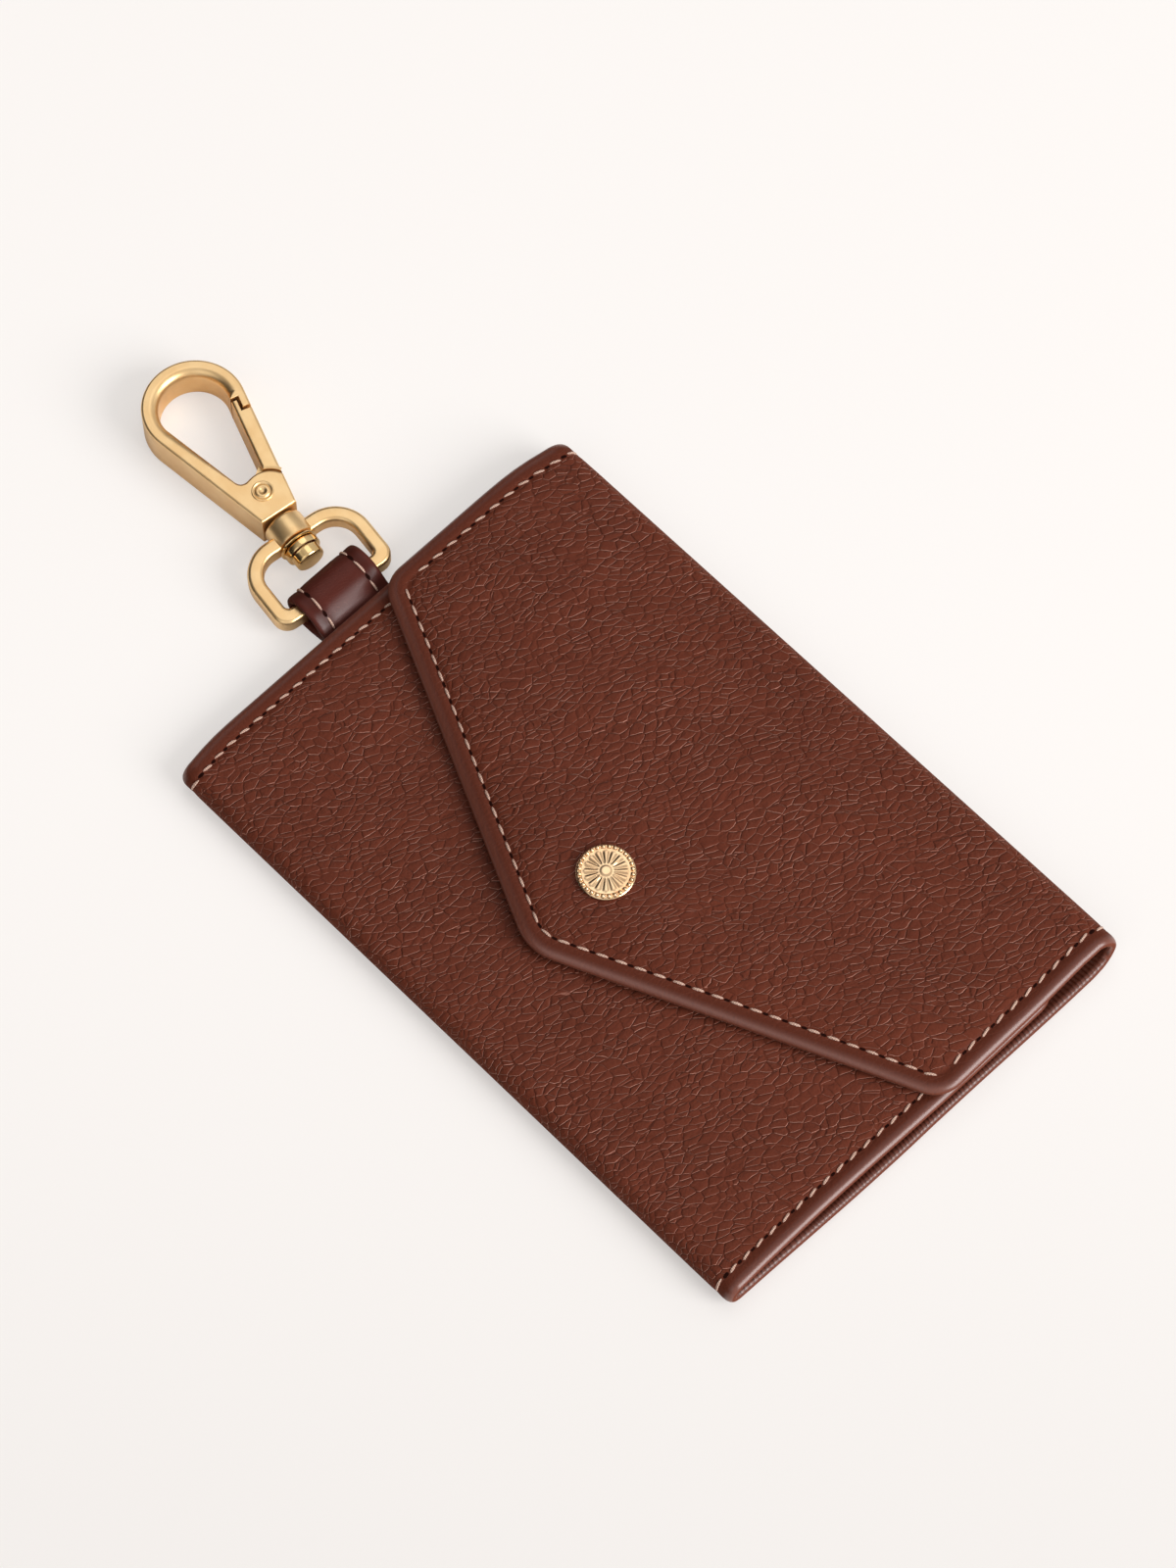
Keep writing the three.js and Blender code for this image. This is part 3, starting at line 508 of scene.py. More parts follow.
def folded_line(start, heading, moves):
    """Moves are (length, turn in degrees). Gives a function from length to place and left-hand side."""
    joins, where, way = [], np.array(start, float), math.radians(heading)
    for length, turn in moves:
        bend = math.radians(turn) / length
        joins.append((length, where, way, bend))
        where, way = advance(where, way, bend, length)

    def follow(along):
        along = np.asarray(along, float)
        place, side = np.zeros((len(along), 2)), np.zeros((len(along), 2))
        begun = 0.0
        for number, (length, origin, way, bend) in enumerate(joins):
            last = number == len(joins) - 1
            here = (along >= begun if number else along > -1e9) & ((along < begun + length) | last)
            place[here], angle = advance(origin, way, bend, along[here] - begun)
            side[here] = np.stack([-np.sin(angle), np.cos(angle)], 1)
            begun += length
        return place, side

    return follow


# %% Leather panel
def smooth_step(low, high, value):
    t = np.clip((value - low) / (high - low), 0.0, 1.0)
    return t * t * (3 - 2 * t)


SEAM = 2.65           # stitch line from the edge
SEAM_PULL, SEAM_WIDTH = 0.3, 0.55
CUSHION = 0.14        # the skin stands a little higher inside the seam
CUSHION_FROM, CUSHION_TO = 2.8, 7.0
LONG_TURN = 1.7       # the outer skin turns over the edge on a longer curve
FOLD_CALM, FOLD_REACH = 0.8, 5.0      # a fold stretches cushion and seam flat
NO_FOLD = 1e6
RIM_FAR = 8.0         # the rim attribute stops counting here


class Panel:
    """A panel of leather: its flat outline, its folded line and its swell, in millimetres."""

    def __init__(self, outline, line, thickness, swell, across=False, offset=0.0,
                 seam=SEAM, pull=0.0, cushion=0.0, fold=NO_FOLD):
        self.outline = np.array(outline, float)
        self.line, self.thickness, self.swell = line, thickness, swell
        self.across, self.offset = across, offset
        self.seam, self.pull, self.cushion, self.fold = seam, pull, cushion, fold

    def rim(self, flat):
        """Distance from the cut edge."""
        start, end = self.outline, np.roll(self.outline, -1, axis=0)
        run = end - start
        share = ((flat[:, None] - start) * run).sum(2) / np.maximum((run * run).sum(1), 1e-9)
        nearest = start + np.clip(share, 0, 1)[:, :, None] * run
        away = np.linalg.norm(flat[:, None] - nearest, axis=2).min(1)
        return np.where(away < 1e-3, 0.0, away)

    def skin(self, flat, side):
        """Height of the outer (1) or inner (-1) skin above the middle of the leather."""
        rim, half = self.rim(flat), self.thickness / 2
        reach = half * (LONG_TURN if side > 0 and self.cushion else 1.0)
        turn = np.sqrt(np.maximum(0, 1 - (1 - np.minimum(rim / reach, 1)) ** 2))
        groove = self.pull * np.exp(-((rim - self.seam) / SEAM_WIDTH) ** 2)
        relief = self.cushion * smooth_step(CUSHION_FROM, CUSHION_TO, rim) - groove
        slack = 1 - FOLD_CALM * np.exp(-((flat[:, 1] - self.fold) / FOLD_REACH) ** 2)
        return self.offset + side * half * turn + (relief * slack if side > 0 else 0.0)

    def place(self, flat, height):
        """Folds flat points that stand height above the middle of the leather into the model, in metres."""
        where, outward = self.line(flat[:, 1])
        lifted = where + outward * (height + self.swell(flat))[:, None]
        columns = [flat[:, 0], lifted[:, 0], lifted[:, 1]]
        if self.across:
            columns = [lifted[:, 0], flat[:, 0], lifted[:, 1]]
        return np.stack(columns, 1) * MM


def cut_sheet(name, outline, rings, columns, rows, trim):
    """A flat sheet: one face, inset rings and straight cuts. trim gives heights to clear past."""
    sheet = new_piece(name, [(u, v, 0.0) for u, v in outline], [range(len(outline))])
    with editing(sheet, "FACE"):
        for step in np.diff([0.0] + list(rings)):
            bpy.ops.mesh.inset(thickness=step, depth=0.0, use_even_offset=True)
        bpy.ops.mesh.hide(unselected=True)
        for axis, cuts in ((0, columns), (1, rows)):
            normal = [0.0, 0.0, 0.0]
            normal[axis] = 1.0
            for cut in cuts:
                spot = [0.0, 0.0, 0.0]
                spot[axis] = cut
                bpy.ops.mesh.select_all(action="SELECT")
                bpy.ops.mesh.bisect(plane_co=spot, plane_no=normal, threshold=1e-4)
        bpy.ops.mesh.reveal()
        for height, way in trim:
            bpy.ops.mesh.select_all(action="SELECT")
            ends = {"plane_co": (0, height, 0), "plane_no": (0, way, 0)}
            bpy.ops.mesh.bisect(**ends, clear_outer=True, threshold=1e-4)
    return sheet


def fold_panel(name, panel, rings, columns, rows, trim=()):
    """Cuts a sheet, doubles it into two skins, folds it and closes its edges."""
    piece = cut_sheet(name, panel.outline, rings, columns, rows, trim)
    count = len(piece.data.vertices)
    with editing(piece, "FACE"):
        bpy.ops.mesh.duplicate()
        bpy.ops.mesh.flip_normals()
    flat = np.array([vertex.co[:2] for vertex in piece.data.vertices])
    outer, inner = flat[:count], flat[count:]
    skins = [panel.place(part, panel.skin(part, side)) for part, side in ((outer, 1), (inner, -1))]
    piece.data.vertices.foreach_set("co", np.concatenate(skins).ravel())
    rim = piece.data.attributes.new("rim", "FLOAT", "POINT")
    signed = np.concatenate([panel.rim(outer), -panel.rim(inner)])
    rim.data.foreach_set("value", np.clip(signed, -RIM_FAR, RIM_FAR))
    with editing(piece):
        bpy.ops.mesh.remove_doubles(threshold=1e-6)
        bpy.ops.mesh.select_all(action="SELECT")
        bpy.ops.mesh.fill_holes(sides=0)
    close_up(piece, smooth=60)
    print(name, len(piece.data.polygons), "faces")
    return piece


# %% [markdown]
# ## Sizes of the purse
# The walls' heights and folds are read from the model, so the leather always fits the solids that it
# replaces. The wall is leather and lining together, and the leather takes all but the lining's share.

# %% Sizes
def node_box(name):
    low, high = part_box(name)
    return np.array(low) / MM, np.array(high) / MM


LINING = 0.2
back_low, back_high = node_box("back_panel")
front_low, front_high = node_box("front_panel")
flap_low, flap_high = node_box("flap")
top_low, top_high = node_box("top_fold")
bottom_low, bottom_high = node_box("bottom_fold")
HALF = back_high[0]
WALL = back_high[2] - back_low[2]
HIDE = WALL - LINING
MOUTH = front_high[1]
TOP_Y, TOP_R = top_low[1], (top_high[2] - top_low[2]) / 2
BOTTOM_Y, BOTTOM_R = bottom_high[1], (bottom_high[2] - bottom_low[2]) / 2
FRONT_CROWN = front_high[2] - front_low[2] - WALL
FLAP_CROWN = flap_high[2] - flap_low[2] - WALL
snap_low, snap_high = node_box("snap_cap")
SNAP_Y = (snap_low[1] + snap_high[1]) / 2
BACK_JOIN = 31.5      # height on the back where the two pieces of leather meet
print("wall, mouth and crowns in mm", [round(float(v), 2) for v in (WALL, MOUTH, FRONT_CROWN, FLAP_CROWN)])

# %% [markdown]
# ## Body
# One strip makes the back, the bottom fold and the front. Its path starts on the back, under the flap's
# fold, and runs down, round the fold and up to the mouth. The front swells a little over what the purse
# holds. A box with bevelled edges would do from afar, but a folded strip keeps its thickness all round.

# %% Body leather
def dome(t):
    return np.maximum(0.0, 1 - t * t)


def ripple(flat, size, height, seed):
    """Slow unevenness of a soft wall, from noise."""
    return height * np.array([noise.noise(Vector((u / size, v / size, seed))) for u, v in flat])


BODY_R = BOTTOM_R - HIDE / 2
back_run = BACK_JOIN - BOTTOM_Y
body_fold = math.pi * BODY_R
front_start = back_run + body_fold
front_run = MOUTH - BOTTOM_Y
body_end = front_start + MOUTH - BOTTOM_Y
body_moves = [(back_run, 0), (body_fold, -180), (front_run, 0)]
body_line = folded_line((BACK_JOIN, HIDE / 2), 180, body_moves)
CORNER_R = 4.0


def front_swell(flat):
    u, up = flat[:, 0], flat[:, 1] - front_start
    reach = front_run / 2
    crown = FRONT_CROWN * dome(u / HALF) * dome((up - reach) / reach) * (up > 0)
    uneven = smooth_step(2, 14, up) * smooth_step(1, 14, HALF - abs(u))
    return crown + uneven * (ripple(flat, 17.0, 0.16, 3.1) + ripple(flat, 6.0, 0.05, 8.2))


def rounded_end(half, end, radius, steps=7):
    """The two round corners and the edge between them at the far end of a strip."""
    right = arc((half - radius, end - radius), radius, 0, 90, steps)
    left = arc((radius - half, end - radius), radius, 90, 180, steps)
    return right + left


def eased(v, *stops):
    """A smooth course through (place, value) stops."""
    for (low, start), (high, end) in zip(stops, stops[1:]):
        if v <= high:
            return start + (end - start) * float(smooth_step(low, high, v))
    return stops[-1][1]


def drawn(v, fold, by, reach):
    """How far a strip's side is drawn in near a fold."""
    return by * math.exp(-((v - fold) / reach) ** 2)


TOP_DRAWN, TOP_REACH = 1.5, 7.0
FOLD_TO_JOIN = math.pi / 2 * (TOP_R - HIDE / 2) + TOP_Y - BACK_JOIN
body_apex = back_run + body_fold / 2


def body_half(v, side):
    """Half width of the strip. On the right the back stands out past the front, so its edge shows."""
    if side < 0:
        return HALF - drawn(v, body_apex, 0.9, 5.0) - drawn(v, -FOLD_TO_JOIN, TOP_DRAWN, TOP_REACH)
    front = [(front_start + 8, -0.8), (front_start + 12, -0.8), (front_start + 50, 0.0)]
    return HALF + eased(v, (0, 0.95), (back_run / 2, 0.45), *front)


def strip_sides(half, heights):
    """The right side of a strip going up, and its left side coming down."""
    right = [(half(v, 1), v) for v in heights]
    left = [(-half(v, -1), v) for v in heights[::-1]]
    return right, left


RUN_OFF = 10.0        # the outline goes on past a join, and is trimmed there
SIDE_STEP, GRID_STEP, ROW_STEP = 2.5, 1.6, 1.4
RINGS = (0.05, 0.16, 0.34, 0.58, 0.9, 1.4, 1.9, 2.3, 2.5, 2.65, 2.8, 3.0, 3.4, 3.75)
PAST_RINGS = 3.8
fold_steps = list(np.linspace(back_run, front_start, 19))
front_marks = list(np.arange(front_start + SIDE_STEP, body_end - CORNER_R - 1, SIDE_STEP))
side_marks = [-RUN_OFF] + list(np.arange(0, back_run - 1, SIDE_STEP)) + fold_steps + front_marks
right_side, left_side = strip_sides(body_half, side_marks)
body_outline = spaced(right_side + rounded_end(HALF, body_end, CORNER_R) + left_side, SIDE_STEP)
body = Panel(body_outline, body_line, HIDE, front_swell, pull=SEAM_PULL, cushion=CUSHION, fold=body_apex)
grid = list(np.arange(-50, 50.1, GRID_STEP))
front_rows = list(np.arange(front_start + ROW_STEP, body_end - PAST_RINGS, ROW_STEP))
rows = list(np.arange(0, back_run, 2.0)) + fold_steps + front_rows
body_piece = fold_panel("body_leather", body, RINGS, grid, rows, [(0.0, -1)])
dress(body_piece, wall_leather)

# %% [markdown]
# ## Flap
# The flap and the top fold are the other strip. Its end is cut to a wide point with round corners. It
# stands up over the snap and sinks back towards its edges, and the snap draws a small dimple. The swell
# is a formula and isn't sculpted, so the lining and the stitches can use it too.

# %% Flap leather
FLAP_SLOPE, POINT_R = math.radians(24.6), 8.0
POINT_Y = flap_low[1] - POINT_R * (1 / math.cos(FLAP_SLOPE) - 1)
FLAP_R = TOP_R - HIDE / 2
flap_run, flap_fold = TOP_Y, math.pi * FLAP_R
flap_end = flap_run + flap_fold + TOP_Y - BACK_JOIN
flap_moves = [(flap_run, 0), (flap_fold, -180), (TOP_Y - BACK_JOIN, 0)]
flap_line = folded_line((0.0, flap_low[2] + LINING + HIDE / 2), 0, flap_moves)
flap_apex = flap_run + flap_fold / 2
slope_degrees = math.degrees(FLAP_SLOPE)
FLAP_CORNER_R, FLAP_FIRST_ROW = 5.0, -17
DIMPLE, DIMPLE_SPREAD = 0.22, 30
corner_x = HALF - FLAP_CORNER_R
corner_y = POINT_Y + corner_x * math.tan(FLAP_SLOPE) + FLAP_CORNER_R / math.cos(FLAP_SLOPE)
tip_centre = (0.0, POINT_Y + POINT_R / math.cos(FLAP_SLOPE))


def flap_edge(u):
    """Height of the flap's lower edge."""
    tip = tip_centre[1] - np.sqrt(np.maximum(POINT_R ** 2 - u ** 2, 0))
    edge = POINT_Y + abs(u) * math.tan(FLAP_SLOPE)
    return np.where(abs(u) < POINT_R * math.sin(FLAP_SLOPE), tip, edge)


def flap_swell(flat):
    u, v = flat[:, 0], flat[:, 1]
    share = (TOP_Y - v) / (TOP_Y - np.minimum(flap_edge(u), TOP_Y - 8))
    snap_share = (TOP_Y - SNAP_Y) / (TOP_Y - flap_low[1])
    rise = np.sin(math.pi / 2 * np.clip(share / snap_share, 0, 1)) * smooth_step(0, 0.3, share)
    past = np.maximum(0, (share - snap_share) / (1 - snap_share))
    crown = FLAP_CROWN * dome(u / HALF) * np.where(past > 0, 1 - 0.55 * past ** 2, rise)
    uneven = smooth_step(0, 14, TOP_Y - v) * smooth_step(1, 12, HALF - abs(u))
    dimple = -DIMPLE * np.exp(-(u ** 2 + (v - SNAP_Y) ** 2) / DIMPLE_SPREAD)
    return crown + dimple + uneven * (ripple(flat, 15.0, 0.16, 5.7) + ripple(flat, 6.0, 0.05, 1.4))


def flap_corners(inset, steps):
    """The flap's left corner, point and right corner, drawn in by inset."""
    left = arc((-corner_x, corner_y), FLAP_CORNER_R - inset, 180, 270 - slope_degrees, steps)
    tip = arc(tip_centre, POINT_R - inset, 270 - slope_degrees, 270 + slope_degrees, 8)
    right = arc((corner_x, corner_y), FLAP_CORNER_R - inset, 270 + slope_degrees, 360, steps)
    return left, tip, right


def flap_half(v, side):
    """Half width of the flap's strip. On the right it widens towards the back."""
    if side < 0:
        return HALF - drawn(v, flap_apex, TOP_DRAWN, TOP_REACH)
    return HALF + eased(v, (flap_run - 14, 0.0), (flap_run - 1, -0.25), (flap_apex, 0.45), (flap_end, 0.95))


flap_steps = list(np.linspace(flap_run, flap_run + flap_fold, 25))
flap_marks = list(np.arange(corner_y + 2, flap_run - 1, SIDE_STEP))
side_marks = flap_marks + flap_steps + [flap_end, flap_end + RUN_OFF]
right_side, left_side = strip_sides(flap_half, side_marks)
left_corner, point, right_corner = flap_corners(0.0, 7)
flap_outline = point + right_corner + right_side + left_side + left_corner
flap_outline = spaced(flap_outline + [point[0]], SIDE_STEP)[:-1]
flap = Panel(flap_outline, flap_line, HIDE, flap_swell, pull=SEAM_PULL, cushion=CUSHION, fold=flap_apex)
rows = list(np.arange(FLAP_FIRST_ROW, flap_run - 0.5, ROW_STEP)) + flap_steps + [flap_end - 1]
flap_piece = fold_panel("flap_leather", flap, RINGS, grid, rows, [(flap_end, 1)])
dress(flap_piece, wall_leather)

# %% [markdown]
# ## How the leather moves
# The model moves by bodies that turn at joints. The two ends of each fold are worked out, but leather
# that crosses a fold only has its place baked into its mesh. Any other piece rides on one body. Each piece
# names the model's nodes that it stands for, and these are hidden.

# %% Ride on the model
BODY_BEND = {"start": (0, BOTTOM_Y * MM, back_high[2] * MM), "end": (0, BOTTOM_Y * MM, front_low[2] * MM)}
FLAP_BEND = {"start": (0, TOP_Y * MM, back_high[2] * MM), "end": (0, TOP_Y * MM, flap_low[2] * MM)}


def bend(piece, other, slot, *nodes):
    """Bakes the piece's place into its mesh, and the piece takes the place of the model's nodes."""
    field = BODY_BEND if other == "front" else FLAP_BEND
    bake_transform(piece)
    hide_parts(*nodes)
    print(piece.name, "bends from purse to", other)


def ride(piece, body_name, slot, *nodes):
    """The piece rides on one body, and takes the place of the model's nodes."""
    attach(piece, body_name)
    if nodes:
        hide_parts(*nodes)
    print(piece.name, "rides on", body_name, "with", len(piece.data.polygons), "faces")


bend(body_piece, "front", "grain_leather", "back_panel", "bottom_fold", "front_panel")
bend(flap_piece, "flap", "grain_leather", "top_fold", "flap")

# %% [markdown]
# ## Linings
# Cloth covers the inside of both strips and hides the board and the turned edges. It is cut a little
# smaller than the leather and folded along the same line, a hair inside it, so it follows every swell.

# %% Linings
LINING_INSET, LINING_GAP = 3.0, 0.04
CLOTH_RINGS, CLOTH_STEP = (0.1, 0.4), 3.0


def drawn_in(outline, by):
    """The outline moved inwards, corner by corner."""
    points = np.array(outline)
    before, after = points - np.roll(points, 1, 0), np.roll(points, -1, 0) - points
    ways = [run / np.maximum(np.linalg.norm(run, axis=1), 1e-9)[:, None] for run in (before, after)]
    sides = [np.stack([-way[:, 1], way[:, 0]], 1) for way in ways]
    middle = sides[0] + sides[1]
    return points + by * middle / np.maximum((middle * sides[0]).sum(1), 0.2)[:, None]


def line_with_cloth(name, panel, rows, trim):
    outline = drawn_in(panel.outline, LINING_INSET)
    cloth = Panel(outline, panel.line, LINING - LINING_GAP, panel.swell, offset=-(HIDE + LINING) / 2)
    piece = fold_panel(name, cloth, CLOTH_RINGS, grid[::2], rows, trim)
    dress(piece, lining_cloth)
    return piece


def flat_area(points, last):
    """Area in square metres of an outline that is trimmed at the height last."""
    across, along = points[:, 0], np.minimum(points[:, 1], last)
    turns = across * np.roll(along, -1) - along * np.roll(across, -1)
    return abs(turns.sum()) / 2 * MM * MM


cloth_rows = list(np.arange(0, back_run, 4.0)) + fold_steps
cloth_rows += list(np.arange(front_start + 2, body_end - 3, CLOTH_STEP))
body_lining = line_with_cloth("body_lining", body, cloth_rows, [(0.0, -1)])
bend(body_lining, "front", "lining_cloth", "back_lining", "front_lining", "back_board", "front_board")
(body_end - LINING_INSET) * MM
cloth_rows = list(np.arange(FLAP_FIRST_ROW, flap_run - 0.5, CLOTH_STEP)) + flap_steps
flap_lining = line_with_cloth("flap_lining_cloth", flap, cloth_rows, [(flap_end, 1)])
bend(flap_lining, "flap", "lining_cloth", "flap_lining", "flap_board")
flap_length = flap_end - flap_low[1] - LINING_INSET
flap_cut = flat_area(drawn_in(flap.outline, LINING_INSET), flap_end)
flap_length * MM
print("flap lining %.4f m2 flat" % flap_cut)

# %% [markdown]
# ## Gussets
# A strip of thin leather is folded into each side, so the mouth can open. It is a flat V with its point
# inwards, so it spreads evenly when the front swings out. Sewing gathers it: the finish has the ribs, and
# a slight wave bends them.

# %% Gussets
GUSSET_HIDE, GUSSET_R, GUSSET_STEP = 0.14, 0.2, 0.6
GUSSET_RINGS = (0.08, 0.2)
LEAF_GAP = 0.05
CRIMP_HEIGHT, CRIMP_PITCH = 0.025, 1.3
RIGHT_EDGE, LEFT_EDGE = 52.8, -52.6


def crimped(flat):
    wander = 4 * ripple(flat, 4.0, 1.0, 2.2)
    return CRIMP_HEIGHT * np.sin(2 * math.pi * flat[:, 0] / CRIMP_PITCH + wander)


for node, edge, heading in (("gusset_right", RIGHT_EDGE, 180), ("gusset_left", LEFT_EDGE, 0)):
    low, high = node_box(node)
    half_leaf = GUSSET_HIDE / 2 + LEAF_GAP
    leaf_low, leaf_high = back_high[2] + half_leaf, front_low[2] - half_leaf
    inwards = high[0] - low[0] - GUSSET_R
    slant = math.atan(((leaf_high - leaf_low) / 2 - GUSSET_R) / inwards)
    leaf, bent = inwards / math.cos(slant), math.pi - 2 * slant
    gusset_end = 2 * leaf + bent * GUSSET_R
    start = (edge, leaf_low if edge > 0 else leaf_high)
    moves = [(leaf, 0), (bent * GUSSET_R, -math.degrees(bent)), (leaf, 0)]
    line = folded_line(start, heading - math.degrees(slant), moves)
    corners = [(low[1], 0), (high[1], 0), (high[1], gusset_end), (low[1], gusset_end), (low[1], 0)]
    outline = spaced(corners, GUSSET_STEP)[:-1]
    strip = Panel(outline, line, GUSSET_HIDE, crimped, across=True)
    folds = list(np.linspace(0, gusset_end, 40)) + list(np.linspace(leaf, gusset_end - leaf, 8))
    cuts = np.arange(low[1], high[1], GUSSET_STEP)
    piece = fold_panel(node + "_leather", strip, GUSSET_RINGS, cuts, sorted(folds))
    dress(piece, gusset_leather)
    bend(piece, "front", "thin_leather", node)

# %% [markdown]
# ## Tab
# A strip of glossy leather goes round the ring's bar and both its ends go into the left seam. It is the
# same kind of panel: a flat strip, folded along a line that turns round the bar and dips under the front.
# So its seam and its stitches are made as on the walls.

# %% Tab
tab_low, tab_high = node_box("tab_loop")
TAB_HIDE, TAB_SEAM, TAB_PULL, TAB_SWELL = 1.1, 2.1, 0.14, 0.05
tab_r = (tab_high[2] - tab_low[2] - TAB_HIDE) / 2
tab_turn = tab_low[0] + TAB_HIDE / 2 + tab_r
tab_bottom = tab_low[2] + TAB_HIDE / 2
tab_moves = [(6.0, 0), (1.5, -12), (1.24, 0), (math.pi * tab_r, -180), (0.4, 0)]
tab_moves += [(3.0, -46), (1.6, 0), (2.2, 46), (2.4, 0)]
tab_line = folded_line((tab_turn + 8.6, tab_bottom + 1.41), 192, tab_moves)
tab_end = sum(length for length, turn in tab_moves)
tab_marks = [0.0] + list(np.arange(3, tab_end - 3, 0.5)) + [tab_end]
tab_outline = [(tab_high[1], v) for v in tab_marks] + [(tab_low[1], v) for v in tab_marks[::-1]]


def tab_swell(flat):
    right, left = tab_high[1] - flat[:, 0], flat[:, 0] - tab_low[1]
    return TAB_SWELL * smooth_step(0, 3, right) * smooth_step(0, 3, left)


tab = Panel(tab_outline, tab_line, TAB_HIDE, tab_swell, across=True, seam=TAB_SEAM, pull=TAB_PULL)
tab_rings = (0.05, 0.15, 0.3, 0.55, 1.0, 1.5, 1.85, 2.1, 2.35, 2.7)
tab_columns = np.arange(tab_low[1] + 3.5, tab_high[1] - 3, 1.0)
tab_piece = fold_panel("tab_leather", tab, tab_rings, tab_columns, np.arange(3, tab_end - 3, 0.4))
dress(tab_piece, tab_leather)
ride(tab_piece, "purse", "tab_leather", "tab_loop")

# %% [markdown]
# ## Stitches
# The seams are sewn with thick pale thread. One stitch is a sphere drawn out into a short rod with sunken
# ends, and it is copied along each seam. Copies are laid in the flat and carried through the same fold as
# the leather, so they follow its surface. A flat dark disc sits between neighbours, a painted shadow of
# the needle hole. One long cord along the seam would be simpler, but a row of copies shows the gaps.

# %% One stitch and one hole
STITCH_PITCH, SIDE_PITCH, TAB_PITCH = 2.75, 2.5, 3.3
STITCH_LENGTH, STITCH_WIDTH, STITCH_SINK = 1.75, 0.37, 0.16
THREAD_LIFT, HOLE_LIFT = 0.14, 0.035
SIDE_SLANT, TAB_SLANT = 13, 3         # degrees
HOLE_SIZE = (0.42, 0.27, 1.0)
bpy.ops.object.select_all(action="DESELECT")
bpy.ops.mesh.primitive_uv_sphere_add(segments=8, ring_count=7, radius=1.0, rotation=(0.0, math.pi / 2, 0.0))
bpy.ops.object.transform_apply(rotation=True)
stitch = bpy.context.object
rod = np.array([vertex.co for vertex in stitch.data.vertices])
rod_faces = [list(face.vertices) for face in stitch.data.polygons]
along = rod[:, 0]
blunt = np.sqrt(np.maximum(0, 1 - abs(along) ** 3.2))
sphere = np.sqrt(np.maximum(0, 1 - along ** 2))
width = blunt / np.maximum(sphere, 1e-6)
rod[:, 1:] *= np.where(abs(along) < 0.999, width, 0.0)[:, None]
rod *= (STITCH_LENGTH / 2, STITCH_WIDTH / 2, STITCH_WIDTH / 2.4)
rod[:, 2] -= STITCH_SINK * along ** 2
bpy.data.objects.remove(stitch)
bpy.ops.mesh.primitive_circle_add(vertices=10, radius=1.0, fill_type="TRIFAN")
pit = bpy.context.object
disc = np.array([vertex.co for vertex in pit.data.vertices]) * HOLE_SIZE
disc_faces = [list(face.vertices) for face in pit.data.polygons]
bpy.data.objects.remove(pit)
print("stitch", len(rod_faces), "faces, hole", len(disc_faces), "faces")


# %% Sewing
def marks(path, pitch, shift):
    """Evenly spaced places and directions along a line on the flat leather."""
    line = np.array(spaced(path, 0.25))
    runs = np.linalg.norm(np.diff(line, axis=0), axis=1)
    gone = np.concatenate([[0.0], np.cumsum(runs)])
    spots = np.arange(pitch * shift, gone[-1], pitch)
    places, ahead, behind = [
        np.stack([np.interp(spots + by, gone, line[:, i]) for i in (0, 1)], 1) for by in (0.0, 0.3, -0.3)
    ]
    return places, np.arctan2(*(ahead - behind).T[::-1])


def lay(name, panel, shape, faces, rows, lift, shift):
    """Copies a small shape along rows of the panel. Each row is (path, pitch, slant in degrees)."""
    points, made = [], []
    for path, pitch, slant in rows:
        for place, way in zip(*marks(path, pitch, shift)):
            turn = way + math.radians(slant)
            length = shape[:, :2] * (pitch / STITCH_PITCH, 1.0)
            sine, cosine = math.sin(turn), math.cos(turn)
            across = length @ np.array([[cosine, sine], [-sine, cosine]])
            base = panel.skin(place[None], 1)[0] + lift
            made += [[i + len(points) * len(shape) for i in face] for face in faces]
            points.append(panel.place(place + across, base + shape[:, 2]))
    piece = new_piece(name, np.concatenate(points), made)
    close_up(piece)
    print(name, len(points), "copies")
    return piece


def sew(name, panel, rows):
    """Stitches start half a pitch along each row, and holes a whole one."""
    threads = lay(name + "_stitches", panel, rod, rod_faces, rows, THREAD_LIFT, 0.5)
    holes = lay(name + "_needle_hole_shadows", panel, disc, disc_faces, rows, HOLE_LIFT, 1.0)
    dress(threads, thread)
    dress(holes, hole_shadow)
    return threads, holes


def side_row(half, start, end, side):
    """A seam along one side of a strip, at the seam's distance from its edge."""
    return [(side * (half(v, side) - SEAM), v) for v in np.linspace(start, end, 40)]


seam_x = HALF - SEAM
body_rows = [([(-seam_x + 2, body_end - SEAM), (seam_x - 2, body_end - SEAM)], STITCH_PITCH, 0)]
for side in (-1, 1):
    for start, end in ((body_apex - 0.4, body_end - SEAM), (1.0, body_apex - 1.2)):
        body_rows.append((side_row(body_half, start, end, side), SIDE_PITCH, side * SIDE_SLANT))
for piece in sew("body", body, body_rows):
    bend(piece, "front", "grain_leather")

seam_left, seam_point, seam_right = flap_corners(SEAM, 6)
flap_sewing = [(seam_left[3:] + seam_point + seam_right[:-3], STITCH_PITCH, 2)]
for side in (-1, 1):
    row = side_row(flap_half, corner_y + 0.8, flap_end - 0.8, side)
    flap_sewing.append((row, STITCH_PITCH, side * SIDE_SLANT))
for piece in sew("flap", flap, flap_sewing):
    bend(piece, "flap", "grain_leather")

TAB_ROW_FROM, TAB_ROW_LENGTH = 3.4, 11.2
row_start = sum(length for length, turn in tab_moves[:3]) + TAB_ROW_FROM
row_end = row_start + TAB_ROW_LENGTH
tab_rows = []
for edge, way in ((tab_low[1], 1), (tab_high[1], -1)):
    across = edge + way * TAB_SEAM
    tab_rows.append(([(across, row_start), (across, row_end)], TAB_PITCH, way * TAB_SLANT))
for piece in sew("tab", tab, tab_rows):
    ride(piece, "purse", "tab_leather")

